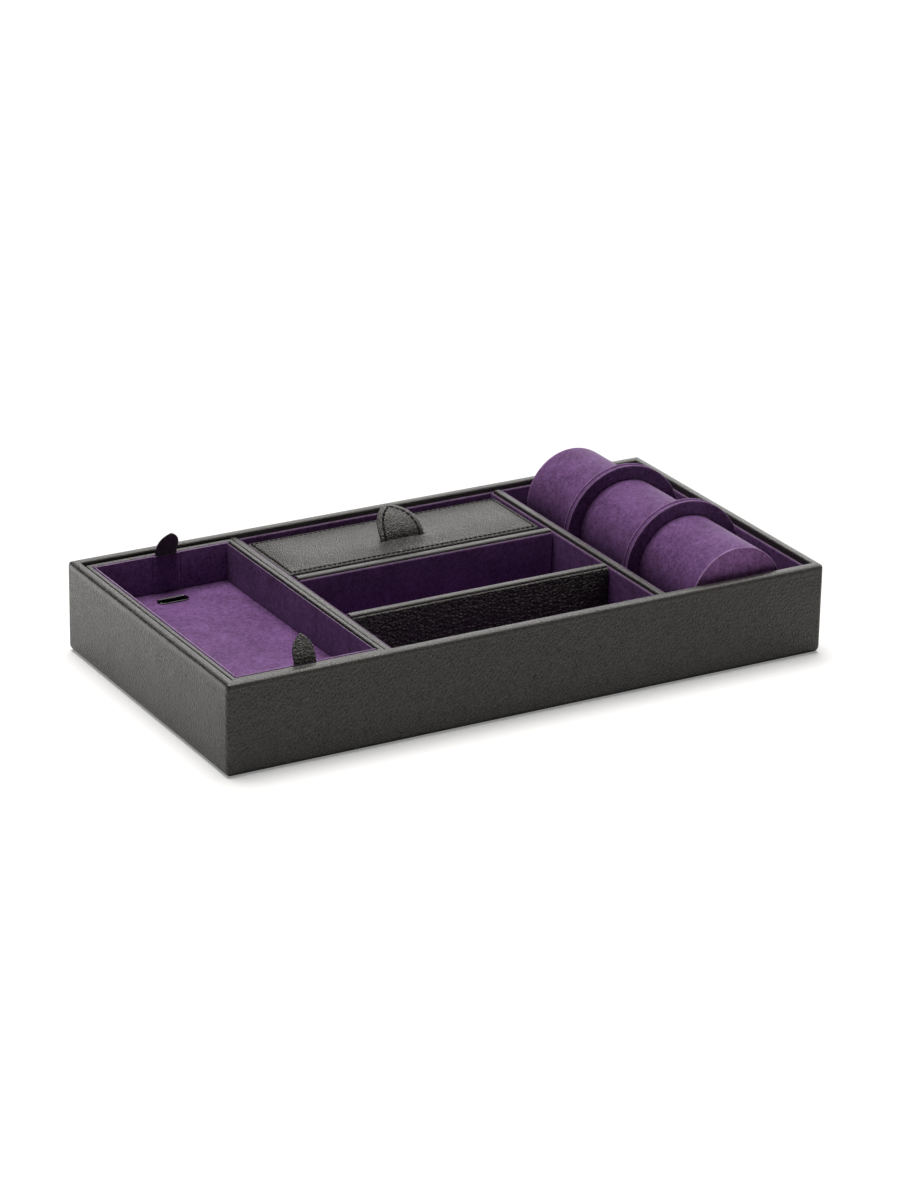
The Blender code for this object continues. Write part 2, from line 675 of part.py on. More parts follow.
def turned_ring(name, inner, outer, y, mat):
    """A ring along Y between an inner and an outer outline in XZ."""
    bm = bmesh.new()
    loops = []
    for outline, along in ((inner, y[0]), (outer, y[0]), (outer, y[1]), (inner, y[1])):
        loops.append([bm.verts.new((px, along, pz)) for px, pz in outline])
    for lower, upper in zip(loops, loops[1:] + loops[:1]):
        bridge(bm, lower, upper)
    return add_object(name, bm, mat, smooth=True)


def turned_disc(name, outline, y, mat):
    bm = bmesh.new()
    loops = [[bm.verts.new((px, along, pz)) for px, pz in outline] for along in y]
    bridge(bm, loops[0], loops[1])
    bm.faces.new(loops[0])
    bm.faces.new(loops[1])
    return add_object(name, bm, mat, smooth=True)


def build_watch_roll(mats):
    """A suede roll between the bay's ends, carried by two hoops with a small flat foot."""
    foot = FLOOR + GAP
    axis = ((ROLL_BAY_LEFT + LINED_RIGHT) / 2, foot + HOOP_RADIUS - HOOP_FLAT)
    start = -LINED_Y + GAP
    end = LINED_Y - ROLL_END_CLEARANCE
    middle = (start + end) / 2
    sleeve = circle(ROLL_RADIUS, axis)
    cap = ROLL_COVER + GAP
    turned_ring("roll_cover", circle(ROLL_RADIUS - ROLL_COVER, axis), sleeve,
                (start + cap, end - cap), mats["suede"])
    turned_disc("roll_core", circle(ROLL_RADIUS - ROLL_COVER - GAP, axis),
                (start + cap, end - cap), mats["board"])
    turned_disc("roll_front_end", sleeve, (start, start + ROLL_COVER), mats["suede"])
    turned_disc("roll_back_end", sleeve, (end - ROLL_COVER, end), mats["suede"])
    bore = circle(ROLL_RADIUS + GAP, axis)
    rim = circle(HOOP_RADIUS, axis, foot)
    for name, way in (("front_hoop", -1), ("back_hoop", 1)):
        y = middle + way * HOOP_SPACING / 2
        turned_ring(name, bore, rim, (y - HOOP_WIDTH / 2, y + HOOP_WIDTH / 2), mats["suede"])


def main():
    clear_scene()
    mats = {
        "leather": make_material("black_leather", (0.022, 0.021, 0.020), 0.48),
        "suede": make_material("purple_suede", (0.085, 0.030, 0.105), 0.92),
        "board": make_material("grey_board", (0.22, 0.19, 0.16), 0.85),
        "base": make_material("black_base_sheet", (0.018, 0.017, 0.018), 0.80),
        "plastic": make_material("black_plastic", (0.012, 0.012, 0.012), 0.22),
    }
    build_case(mats)
    build_dividers(mats)
    build_linings(mats)
    build_insert_supports(mats)
    build_insert(mats)
    build_lid(mats)
    build_watch_roll(mats)


main()
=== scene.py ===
"""Looks of the leather valet tray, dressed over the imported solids.

Lengths in the helper calls are millimetres, in the frame of the solids.
"""
import json
import math

import bmesh
import bpy
from mathutils import Matrix, Vector, noise


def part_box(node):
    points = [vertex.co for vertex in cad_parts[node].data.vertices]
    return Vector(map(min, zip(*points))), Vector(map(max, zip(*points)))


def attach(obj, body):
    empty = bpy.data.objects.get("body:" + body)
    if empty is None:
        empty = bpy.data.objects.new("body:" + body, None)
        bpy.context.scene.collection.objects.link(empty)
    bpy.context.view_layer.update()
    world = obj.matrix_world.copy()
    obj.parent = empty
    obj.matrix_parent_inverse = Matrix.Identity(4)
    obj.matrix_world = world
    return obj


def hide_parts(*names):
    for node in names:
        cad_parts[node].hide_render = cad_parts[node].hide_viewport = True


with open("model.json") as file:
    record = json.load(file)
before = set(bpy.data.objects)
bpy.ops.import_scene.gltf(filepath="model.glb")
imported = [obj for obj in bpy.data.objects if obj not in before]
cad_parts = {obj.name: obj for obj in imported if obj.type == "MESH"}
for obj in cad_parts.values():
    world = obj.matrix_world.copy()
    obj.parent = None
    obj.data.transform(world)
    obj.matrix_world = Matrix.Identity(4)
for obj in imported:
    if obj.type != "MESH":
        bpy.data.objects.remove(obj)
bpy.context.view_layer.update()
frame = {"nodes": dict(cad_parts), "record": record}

MM = 0.001

# Camera, solved on the tray's corners
CAMERA_AZIMUTH = -29.8535
CAMERA_ELEVATION = 22.1404
CAMERA_ROLL = 1.0051
CAMERA_DISTANCE = 2363.85
CAMERA_SIDE = 2.589
CAMERA_RISE = 28.365
CAMERA_LENS = 127.29

# Fineness of curved faces, and the spacing of the rings along a straight board
CORNER_STEPS = 6
EDGE_STEPS = 6
LIP_STEPS = 8
RING_SPACING = 12.0
STITCH_SIDES = 8

# The hand-made waver of long edges
WAVER = 0.10
WAVER_RUN = 42.0
WAVER_UP = 0.4

# Sizes shared with the solids
OUTER_CORNER = 2.5
RIM_OUTER_RADIUS = 2.6
RIM_INNER_RADIUS = 1.3
# The rim's outside as arcs of (radius, first and last lean in degrees): it leans in slowly,
# then turns over quickly
RIM_BENDS = ((6.0, 0.0, 16.0), (1.6, 16.0, 60.0), (3.6, 60.0, 90.0))
FOOT_RADIUS = 4.0
OUTER_SKIN = 0.8
TURN_UNDER = 9.0
WALL = 5.8
DIVIDER_ROUND = 1.2
DIVIDER_SKIN = 0.7
INSERT_WALL = 3.3
INSERT_SKIN = 0.7
INSERT_TURN_UNDER = 6.0
INSERT_ROUND = 1.1
INSERT_CORNER = 2.0
BOARD_GAP = 0.3

# Rounding of the linings' edges
FLOOR_EASE = 0.25
LINER_EASE = 0.85
LEATHER_PANEL_EASE = 0.6
LEDGE_EASE = 0.5
INSERT_PANEL_EASE = 0.7

# Cut edges of the suede, and the lip beside the insert's right rim
EDGE_INSET = 0.12
EDGE_PROUD = 0.06
EDGE_THIN = 0.40
EDGE_DEPTH = 0.3
EDGE_END = 0.6
PANEL_LIP = 0.60
PANEL_GROOVE = 2.5

# Strip over a pull tab's tail, as (distance in from its side, height), and its side creases
STRIP_HALF = 8.2
STRIP_SET_BACK = 0.9
STRIP_RISE = ((0.25, 0.2), (0.55, 0.5), (0.9, 0.68), (1.4, 0.74), (3.5, 0.75))
STRIP_CREASE = ((0.0, 0.0), (-0.25, -0.45), (-0.5, 0.0))
STRIP_HEIGHT = STRIP_RISE[-1][1]
STRIP_EDGE_STEPS = 4

# Corner of the insert's slotted floor sheet
PLATE_CORNER = 0.4

# Ring round the slot: its flange, the wall of its tube, its room in the suede, and its rounding
RING_FLANGE = 0.8
RING_TUBE = 0.3
RING_ROOM = 0.2
RING_EASE = 0.2
RING_LIP = 0.5
RING_LIP_DEPTH = 1.2

# Leather and suede: the share of grain and the gloss where leather is drawn taut over a rim
TAUT_FROM = 0.0478
TAUT_TO = 0.0502
TAUT_GRAIN = 0.38
TAUT_GLOSS = 0.04
LEATHER_TINT = (1.0, 0.95, 0.89, 1.0)
LEATHER_COAT_ROUGHNESS = 0.36
LEATHER_SPREAD = 0.06
LEATHER_PATCHES = 45.0
SUEDE_PATCHES = 55.0
SUEDE_STREAKS = 320.0
SUEDE_FIBRE = 900.0
SUEDE_NAP = 0.00012
SUEDE_TINT = (0.92, 0.84, 1.0)

# Light
SUN_STRENGTH = 3.3
SUN_SPREAD = 36.0
SUN_FROM_BACK = 9.0
SUN_FROM_LEFT = 0.0
FILL_BACK = 0.22
FILL_FRONT = 0.03
SCREEN_BACK = 2.0
SCREEN_FRONT = 0.06
FLOOR_GLOW = 0.24
FLOOR_GLOW_BACK = 1.25
FLOOR_GLOW_FRONT = 0.0
FLOOR_SHADE = 0.80
FLOOR_FAR_SHADE = 0.04
SUN_GLOSS = 0.35
DARK_SIDE = 0.02
TOP_PANEL = 1.3
TOP_PANEL_WAY = (0.46, -0.60, 0.655)

# Lid
LID_CORNER = 2.2
LID_SKIRT = 0.8
LID_CROWN = 2.1
LID_CROWN_RUN = 20.0
LID_EDGE_ROUND = 0.4
LID_SEAM = 2.3
SEAM_WIDTH = 0.42
SEAM_DEPTH = 0.14
SLIT_FROM_FRONT = 16.3
SLIT_BULGE = 1.0
SLIT_REACH = 15.5
SLIT_DEPTH = 0.9
SLIT_WIDTH = 0.8
LID_WAVER = 0.10
LID_FOLD = 0.15
LID_RING_SPACING = 0.8
LID_MIDDLE = 1.0

# Tabs: width, length, thickness, lean at the root and further curl in degrees. Their set is
# how far the left and the right edge have curled back, and how far the tip leans sideways
LID_TAB = (27.4, 25.0, 1.6, 28.0, 58.0)
BACK_PULL = (13.2, 17.2, 1.2, 20.0, 20.0)
FRONT_PULL = (13.2, 16.0, 1.2, 20.0, 10.0)
LID_TAB_SET = (3.0, 1.5, -1.2)
PULL_SET = (0.5, 0.5, 0.0)
ROOT_SHARE = 0.25
TAB_SEAM = 3.0
TAB_GROOVE = 0.45
TAB_GROOVE_WIDTH = 0.42
TAB_SWELL = 0.16
PULL_TAIL = 13.0
LID_TAB_TAIL = 3.0

# Stitches: length, thickness, pitch and first place
TAB_STITCH = (2.4, 0.95, 3.3, 1.2)
LID_STITCH = (2.1, 1.15, 3.1, 0.5)

# Watch roll
ROLL_SKIN = 0.8
ROLL_ROUND = 0.7
ROLL_PROUD = 0.2
ROLL_WAVER = 0.12
ROLL_RINGS = 60
TURN_STEPS = 128
CAP_BEAD = 0.75
HOOP_BEAD = 0.75
HOOP_ROOM = 0.3
# Width of the pale bead lines on the hoops, partly rubbed nap and partly painted highlight
HIGHLIGHT_LINE_WIDTH = 0.5
SEAM_LINE = 0.6


def span(node):
    """Lowest and highest corners of a solid, in millimetres."""
    low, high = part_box(node)
    return [v / MM for v in low], [v / MM for v in high]


# Materials


def add_node(tree, kind, inputs=None, **settings):
    """A shader node; an input is a value or another node's output."""
    node = tree.nodes.new(kind)
    for key, value in settings.items():
        setattr(node, key, value)
    for key, value in (inputs or {}).items():
        if isinstance(value, bpy.types.NodeSocket):
            tree.links.new(value, node.inputs[key])
        else:
            node.inputs[key].default_value = value
    return node


def new_material(name):
    material = bpy.data.materials.new(name)
    material.use_nodes = True
    tree = material.node_tree
    return material, tree, tree.nodes["Principled BSDF"]


def stretched(tree, scale):
    """Object coordinates, stretched for grain that runs one way."""
    coords = add_node(tree, "ShaderNodeTexCoord").outputs["Object"]
    mapping = add_node(tree, "ShaderNodeMapping", {"Vector": coords, "Scale": scale})
    return mapping.outputs["Vector"]


def warped(tree, vector, scale, amount):
    """A vector pushed about by noise, so that cells lose their straight sides."""
    push = add_node(tree, "ShaderNodeTexNoise", {"Vector": vector, "Scale": scale, "Detail": 2.0})
    centred = add_node(tree, "ShaderNodeVectorMath", {0: push.outputs["Color"], 1: (0.5, 0.5, 0.5)},
                       operation="SUBTRACT")
    scaled = add_node(tree, "ShaderNodeVectorMath", {0: centred.outputs[0], "Scale": amount},
                      operation="SCALE")
    moved = add_node(tree, "ShaderNodeVectorMath", {0: vector, 1: scaled.outputs[0]}, operation="ADD")
    return moved.outputs[0]


def remap(tree, value, low, high, to_low, to_high):
    node = add_node(tree, "ShaderNodeMapRange",
                    {"Value": value, "From Min": low, "From Max": high,
                     "To Min": to_low, "To Max": to_high})
    return node.outputs["Result"]


def total(tree, parts):
    """Weighted sum of values: [(socket, weight), ...]."""
    result = None
    for value, weight in parts:
        term = add_node(tree, "ShaderNodeMath", {0: value, 1: weight}, operation="MULTIPLY").outputs[0]
        if result is None:
            result = term
        else:
            result = add_node(tree, "ShaderNodeMath", {0: result, 1: term}, operation="ADD").outputs[0]
    return result


def blend_colour(tree, factor, first, second):
    node = add_node(tree, "ShaderNodeMix", {"Factor": factor}, data_type="RGBA")
    node.inputs[6].default_value = (*first, 1.0)
    node.inputs[7].default_value = (*second, 1.0)
    return node.outputs[2]


def make_leather(name, dark, light, roughness, cell, depth, stretch=(1.0, 1.0, 0.7), coat=0.4,
                 taut=None):
    """Pebbled leather: rounded cells with creases between them, and fine pores.

    Where taut gives two heights, the grain fades between them, as it does over a folded rim.
    """
    material, tree, shader = new_material(name)
    vector = stretched(tree, stretch)
    grain = warped(tree, vector, 0.9 / cell, cell * 0.55)
    cells = add_node(tree, "ShaderNodeTexVoronoi", {"Vector": grain, "Scale": 1.0 / cell},
                     feature="DISTANCE_TO_EDGE").outputs["Distance"]
    plump = remap(tree, cells, 0.0, 0.32, 0.0, 1.0)
    small = add_node(tree, "ShaderNodeTexVoronoi", {"Vector": grain, "Scale": 2.3 / cell},
                     feature="F1").outputs["Distance"]
    pores = add_node(tree, "ShaderNodeTexNoise",
                     {"Vector": vector, "Scale": 5.0 / cell, "Detail": 3.0}).outputs["Fac"]
    patches = add_node(tree, "ShaderNodeTexNoise",
                       {"Vector": vector, "Scale": LEATHER_PATCHES, "Detail": 4.0}).outputs["Fac"]
    height = total(tree, [(plump, 0.62), (small, -0.20), (pores, 0.22), (patches, 0.5)])
    bump = add_node(tree, "ShaderNodeBump", {"Height": height, "Strength": 1.0, "Distance": depth})
    tree.links.new(bump.outputs["Normal"], shader.inputs["Normal"])
    easing = 0.0
    if taut:
        place = add_node(tree, "ShaderNodeTexCoord").outputs["Object"]
        up = add_node(tree, "ShaderNodeSeparateXYZ", {0: place}).outputs["Z"]
        tree.links.new(remap(tree, up, *taut, 1.0, TAUT_GRAIN), bump.inputs["Strength"])
        easing = remap(tree, up, *taut, 0.0, -TAUT_GLOSS)
    tone = total(tree, [(plump, 0.55), (patches, 0.45)])
    tree.links.new(blend_colour(tree, tone, dark, light), shader.inputs["Base Color"])
    rough = remap(tree, total(tree, [(patches, 0.6), (pores, 0.4)]), 0.3, 0.7,
                  roughness - LEATHER_SPREAD, roughness + LEATHER_SPREAD)
    rough = add_node(tree, "ShaderNodeMath", {0: rough, 1: easing}, operation="ADD").outputs[0]
    tree.links.new(rough, shader.inputs["Roughness"])
    tree.links.new(bump.outputs["Normal"], shader.inputs["Coat Normal"])
    shader.inputs["Specular Tint"].default_value = LEATHER_TINT
    shader.inputs["Coat Weight"].default_value = coat
    shader.inputs["Coat Roughness"].default_value = LEATHER_COAT_ROUGHNESS
    return material


def make_suede(name, dark, light, sheen, tint):
    """Napped suede: brushed patches, short streaks and a fine fibre."""
    material, tree, shader = new_material(name)
    vector = stretched(tree, (1.0, 1.0, 1.0))
    brushed = warped(tree, vector, 60.0, 0.02)
    patches = add_node(tree, "ShaderNodeTexNoise",
                       {"Vector": brushed, "Scale": SUEDE_PATCHES, "Detail": 4.0}).outputs["Fac"]
    streaks = add_node(tree, "ShaderNodeTexNoise",
                       {"Vector": warped(tree, vector, 180.0, 0.004), "Scale": SUEDE_STREAKS,
                        "Detail": 4.0}).outputs["Fac"]
    fibre = add_node(tree, "ShaderNodeTexNoise",
                     {"Vector": vector, "Scale": SUEDE_FIBRE, "Detail": 4.0}).outputs["Fac"]
    tone = total(tree, [(patches, 0.26), (streaks, 0.30), (fibre, 0.44)])
    factor = remap(tree, tone, 0.39, 0.61, 0.0, 1.0)
    tree.links.new(blend_colour(tree, factor, dark, light), shader.inputs["Base Color"])
    height = total(tree, [(fibre, 0.55), (streaks, 0.45), (patches, 0.6)])
    bump = add_node(tree, "ShaderNodeBump", {"Height": height, "Strength": 0.9, "Distance": SUEDE_NAP})
    tree.links.new(bump.outputs["Normal"], shader.inputs["Normal"])
    shader.inputs["Roughness"].default_value = 0.62
    shader.inputs["Specular IOR Level"].default_value = 0.15
    shader.inputs["Sheen Weight"].default_value = sheen
    shader.inputs["Sheen Roughness"].default_value = 0.24
    shader.inputs["Sheen Tint"].default_value = (*tint, 1.0)
    return material


def make_thread(name, colour):
    """Twisted thread."""
    material, tree, shader = new_material(name)
    vector = stretched(tree, (1.0, 1.0, 1.0))
    ply = add_node(tree, "ShaderNodeTexWave", {"Vector": vector, "Scale": 900.0, "Distortion": 3.0},
                   bands_direction="DIAGONAL").outputs["Fac"]
    bump = add_node(tree, "ShaderNodeBump", {"Height": ply, "Strength": 0.8, "Distance": 0.00008})
    tree.links.new(bump.outputs["Normal"], shader.inputs["Normal"])
    shade = tuple(c * 1.8 for c in colour)
    tree.links.new(blend_colour(tree, ply, colour, shade), shader.inputs["Base Color"])
    shader.inputs["Roughness"].default_value = 0.85
    shader.inputs["Specular IOR Level"].default_value = 0.12
    return material


def make_board(name, dark, light):
    """Grey bookbinder's board, faintly mottled."""
    material, tree, shader = new_material(name)
    vector = stretched(tree, (1.0, 1.0, 1.0))
    pulp = add_node(tree, "ShaderNodeTexNoise",
                    {"Vector": vector, "Scale": 500.0, "Detail": 6.0}).outputs["Fac"]
    tree.links.new(blend_colour(tree, pulp, dark, light), shader.inputs["Base Color"])
    bump = add_node(tree, "ShaderNodeBump", {"Height": pulp, "Strength": 0.5, "Distance": 0.0001})
    tree.links.new(bump.outputs["Normal"], shader.inputs["Normal"])
    shader.inputs["Roughness"].default_value = 0.85
    return material


def make_base_sheet(name, dark, light):
    """A closely woven sheet under the tray."""
    material, tree, shader = new_material(name)
    vector = stretched(tree, (1.0, 1.0, 1.0))
    weave = []
    for axis in ("X", "Y"):
        wave = add_node(tree, "ShaderNodeTexWave", {"Vector": vector, "Scale": 420.0, "Distortion": 0.6,
                                                    "Detail": 1.0}, bands_direction=axis)
        weave.append((wave.outputs["Fac"], 0.5))
    height = total(tree, weave)
    bump = add_node(tree, "ShaderNodeBump", {"Height": height, "Strength": 0.9, "Distance": 0.00015})
    tree.links.new(bump.outputs["Normal"], shader.inputs["Normal"])
    tree.links.new(blend_colour(tree, height, dark, light), shader.inputs["Base Color"])
    shader.inputs["Roughness"].default_value = 0.9
    return material


def make_plastic(name, colour):
    """Glossy moulded plastic with a faint waviness."""
    material, tree, shader = new_material(name)
    vector = stretched(tree, (1.0, 1.0, 1.0))
    haze = add_node(tree, "ShaderNodeTexNoise", {"Vector": vector, "Scale": 300.0}).outputs["Fac"]
    tree.links.new(remap(tree, haze, 0.3, 0.7, 0.12, 0.24), shader.inputs["Roughness"])
    bump = add_node(tree, "ShaderNodeBump", {"Height": haze, "Strength": 0.3, "Distance": 0.00005})
    tree.links.new(bump.outputs["Normal"], shader.inputs["Normal"])
    shade = tuple(c * 1.5 for c in colour)
    tree.links.new(blend_colour(tree, haze, colour, shade), shader.inputs["Base Color"])
    shader.inputs["Specular IOR Level"].default_value = 1.0
    shader.inputs["Coat Weight"].default_value = 1.0
    shader.inputs["Coat Roughness"].default_value = 0.1
    return material


LEATHER = make_leather("grained_leather", (0.008, 0.0074, 0.007), (0.024, 0.022, 0.020), 0.44,
                       0.0017, 0.00060, taut=(TAUT_FROM, TAUT_TO))
LID_LEATHER = make_leather("lid_leather", (0.014, 0.013, 0.012), (0.036, 0.034, 0.031), 0.44,
                           0.0013, 0.00085, (1.0, 1.0, 1.0), 0.6)
BOLD_LEATHER = make_leather("pebbled_leather", (0.012, 0.011, 0.010), (0.034, 0.032, 0.029), 0.44,
                            0.0018, 0.0005, (1.0, 1.0, 1.0), 0.4)
# Darker copy of the leather for the panel deep in the front bay: its darker base colour is painted shade
SHADED_BAY_LEATHER = make_leather("shaded_bay_leather", (0.002, 0.0016, 0.0013), (0.007, 0.0055, 0.0045), 0.46,
                            0.0023, 0.0007, (1.0, 1.0, 1.0), 0.1)
TAB_LEATHER = make_leather("tab_leather", (0.010, 0.009, 0.0085), (0.028, 0.026, 0.024), 0.46,
                           0.0014, 0.00045, (1.0, 1.0, 1.0))
SUEDE = make_suede("brushed_suede", (0.086, 0.034, 0.104), (0.197, 0.093, 0.256), 0.5, SUEDE_TINT)
# Pale edge suede for the tray liners' cut edges: partly real rubbed nap, partly painted highlight, and
# kept dimmer than the insert's edges as painted shade below the rim
RUBBED_SHADED_SUEDE = make_suede("rubbed_shaded_suede", (0.095, 0.062, 0.100), (0.150, 0.105, 0.158), 0.3,
                        (0.95, 0.88, 1.0))
# Pale edge suede for the insert's panels: partly a real paler cut edge, partly a painted highlight where
# the top edges catch light
LIT_CUT_SUEDE = make_suede("lit_cut_suede", (0.24, 0.20, 0.25), (0.34, 0.29, 0.36), 0.4,
                       (0.95, 0.92, 1.0))
# Lighter copy of the suede for the roll's end caps: painted light on faces that the lamps leave dim
LIT_END_SUEDE = make_suede("lit_end_suede", (0.150, 0.058, 0.168), (0.340, 0.156, 0.410), 0.7, SUEDE_TINT)
# Pale suede for lines on the roll's beads and seams: partly rubbed nap, partly painted highlight
RUBBED_LIT_SUEDE = make_suede("rubbed_lit_suede", (0.26, 0.15, 0.29), (0.40, 0.26, 0.44), 0.6,
                          (0.95, 0.88, 1.0))
THREAD = make_thread("black_thread", (0.006, 0.006, 0.006))
BOARD = make_board("stiff_board", (0.18, 0.16, 0.13), (0.26, 0.23, 0.19))
BASE_SHEET = make_base_sheet("base_fabric", (0.010, 0.009, 0.010), (0.026, 0.024, 0.026))
PLASTIC = make_plastic("grommet_plastic", (0.008, 0.008, 0.008))
SLOTS = {material.name: "purple_suede"
         for material in (SUEDE, RUBBED_SHADED_SUEDE, LIT_CUT_SUEDE, LIT_END_SUEDE, RUBBED_LIT_SUEDE)}
SLOTS[PLASTIC.name] = "black_plastic"


# Mesh helpers


def arc(cx, cy, radius, start, end, steps=EDGE_STEPS):
    """Points on an arc in degrees, both ends included."""
    points = []
    for i in range(steps + 1):
        a = math.radians(start + (end - start) * i / steps)
        points.append((cx + radius * math.cos(a), cy + radius * math.sin(a)))
    return points


def outline(half_x, half_y, radius, centre=(0.0, 0.0), sides=(1, 1)):
    """Rounded rectangle, counter-clockwise, its sides cut into equal steps."""
    r = max(radius, 0.05)
    corners = []
    for sx, sy, start in ((1, 1, 0), (-1, 1, 90), (-1, -1, 180), (1, -1, 270)):
        cx = centre[0] + sx * (half_x - r)
        cy = centre[1] + sy * (half_y - r)
        corners.append(arc(cx, cy, r, start, start + 90, CORNER_STEPS))
    points = []
    for i, corner in enumerate(corners):
        points += corner
        a = Vector(corner[-1])
        b = Vector(corners[(i + 1) % 4][0])
        count = sides[i % 2]
        points += [tuple(a.lerp(b, k / count)) for k in range(1, count)]
    return points


def waver(point):
    """The slight unevenness of leather and suede stretched over board by hand."""
    shift = noise.noise_vector(Vector(point) / WAVER_RUN)
    return Vector(point) + Vector((shift.x, shift.y, WAVER_UP * shift.z)) * WAVER


def finish_piece(name, bm, material, replaced, smooth=40.0, body="root", steady=False):
    """Closes a mesh made in millimetres into a named piece that rides on a body."""
    if not steady:
        for vert in bm.verts:
            vert.co = waver(vert.co)
    bmesh.ops.recalc_face_normals(bm, faces=bm.faces)
    bmesh.ops.scale(bm, vec=(MM, MM, MM), verts=bm.verts)
    mesh = bpy.data.meshes.new(name)
    bm.to_mesh(mesh)
    bm.free()
    mesh.materials.append(material)
    mesh.shade_smooth()
    mesh.set_sharp_from_angle(angle=math.radians(smooth))
    piece = bpy.data.objects.new(name, mesh)
    bpy.context.scene.collection.objects.link(piece)
    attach(piece, body)
    if replaced:
        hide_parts(*replaced)
    return piece


def loft(name, rings, material, replaced=(), closed=False, **options):
    """A surface through rings of points; the ends are capped unless the rings close."""
    bm = bmesh.new()
    loops = [[bm.verts.new(p) for p in ring] for ring in rings]
    pairs = list(zip(loops, loops[1:]))
    if closed:
        pairs.append((loops[-1], loops[0]))
    else:
        bm.faces.new(loops[0])
        bm.faces.new(loops[-1])
    for lower, upper in pairs:
        for i in range(len(lower)):
            j = (i + 1) % len(lower)
            bm.faces.new((lower[i], lower[j], upper[j], upper[i]))
    return finish_piece(name, bm, material, replaced, **options)


def level(points, z):
    return [(x, y, z) for x, y in points]


def middle(low, high):
    """Centre of a box, seen from above."""
    return (low[0] + high[0]) / 2, (low[1] + high[1]) / 2


def carried(section, low, high, along, end=0.0):
    """Copies of a section (across, z) along X (0) or Y (1), from one end of a box to the other."""
    count = int((high[along] - low[along]) / RING_SPACING)
    rings = []
    for k in range(count + 1):
        s = low[along] + end + (high[along] - low[along] - 2 * end) * k / count
        rings.append([(s, c, z) if along == 0 else (c, s, z) for c, z in section])
    return rings


def lip_section(a, b, top):
    """A thin strip with a half-round top, from a to b across."""
    r = (b - a) / 2
    foot = top - r - EDGE_DEPTH
    crown = arc(a + r, top - r, r, 180, 0, LIP_STEPS)[1:-1]
    return [(a, top - r)] + crown + [(b, top - r), (b, foot), (a, foot)]


def turned_over(top, bends, steps=6):
    """Outside of a folded rim, from the upright face to its top, by arcs that join smoothly."""
    leans = [[math.radians(first + (last - first) * k / steps) for k in range(steps + 1)]
             for _, first, last in bends]
    drop = sum(bend[0] * (math.sin(lean[-1]) - math.sin(lean[0])) for bend, lean in zip(bends, leans))
    points = [(0.0, top - drop)]
    for bend, lean in zip(bends, leans):
        radius = bend[0]
        x, z = points[-1]
        x += radius * math.cos(lean[0])
        z -= radius * math.sin(lean[0])
        points += [(x - radius * math.cos(a), z + radius * math.sin(a)) for a in lean[1:]]
    return points


def wrap_section(wall, skin, bottom, top, inner_foot, foot, turn_under, rim_out, rim_in, bends=None):
    """Leather over a wall: under the base, up outside, over the rim and down inside."""
    outer = [(turn_under, bottom)]
    outer += arc(foot, bottom + foot, foot, 270, 180)
    outer += turned_over(top, bends) if bends else arc(rim_out, top - rim_out, rim_out, 180, 90)
    outer += arc(wall - rim_in, top - rim_in, rim_in, 90, 0)
    outer += [(wall, inner_foot)]
    inner = [(wall - skin, inner_foot)]
    inner += arc(wall - rim_in, top - rim_in, max(rim_in - skin, 0.1), 0, 90)
    inner += arc(rim_out, top - rim_out, max(rim_out - skin, 0.1), 90, 180)
    inner += arc(foot, bottom + foot, max(foot - skin, 0.1), 180, 270)
    inner += [(turn_under, bottom + skin)]
    return outer + inner


def wrapped_frame(name, node, section, corner, sides):
    """A wrap section carried round the node's own outline."""
    low, high = span(node)
    centre = middle(low, high)
    half_x = (high[0] - low[0]) / 2
    half_y = (high[1] - low[1]) / 2
    rings = [level(outline(half_x - inset, half_y - inset, corner - inset, centre, sides), z)
             for inset, z in section]
    return loft(name, rings, LEATHER, (node,), closed=True)


def soft_board(name, node, material, ease, steps=3):
    """A board or sheet of the node's size with rounded edges."""
    low, high = span(node)
    half = [(high[i] - low[i]) / 2 for i in (0, 1)]
    centre = middle(low, high)
    sides = tuple(max(1, int(2 * h / RING_SPACING)) for h in half)
    ease = min(ease, 0.49 * min(2 * half[0], 2 * half[1], high[2] - low[2]))
    profile = [(ease - r, low[2] + ease + z) for r, z in arc(0.0, 0.0, ease, 270, 360, steps)]
    profile += [(ease - r, high[2] - ease + z) for r, z in arc(0.0, 0.0, ease, 0, 90, steps)]
    rings = [level(outline(half[0] - inset, half[1] - inset, ease + 0.1 - inset, centre, sides), z)
             for inset, z in profile]
    return loft(name, rings, material, (node,))


def cut_edge(node, material, near=EDGE_INSET, far=EDGE_INSET):
    """The paler cut edge along the top of a lining that stands on edge: partly real rubbed nap, partly a
    painted highlight carried by the material given.
    """
    low, high = span(node)
    across, along = (1, 0) if high[0] - low[0] > high[1] - low[1] else (0, 1)
    section = lip_section(low[across] + near, high[across] - far, high[2] + EDGE_PROUD)
    return loft(node + "_edge", carried(section, low, high, along, EDGE_END), material)


def folded_cap(name, node, axis):
    """Leather folded over a divider."""
    low, high = span(node)
    across, along = (1, 0) if axis == "X" else (0, 1)
    a, b, foot, top = low[across], high[across], low[2], high[2]
    r = DIVIDER_ROUND
    section = [(a, foot)] + arc(a + r, top - r, r, 180, 90) + arc(b - r, top - r, r, 90, 0)
    section += [(b, foot), (b - DIVIDER_SKIN, foot)]
    section += arc(b - r, top - r, r - DIVIDER_SKIN, 0, 90)
    section += arc(a + r, top - r, r - DIVIDER_SKIN, 90, 180) + [(a + DIVIDER_SKIN, foot)]
    return loft(name, carried(section, low, high, along), LEATHER, (node,))


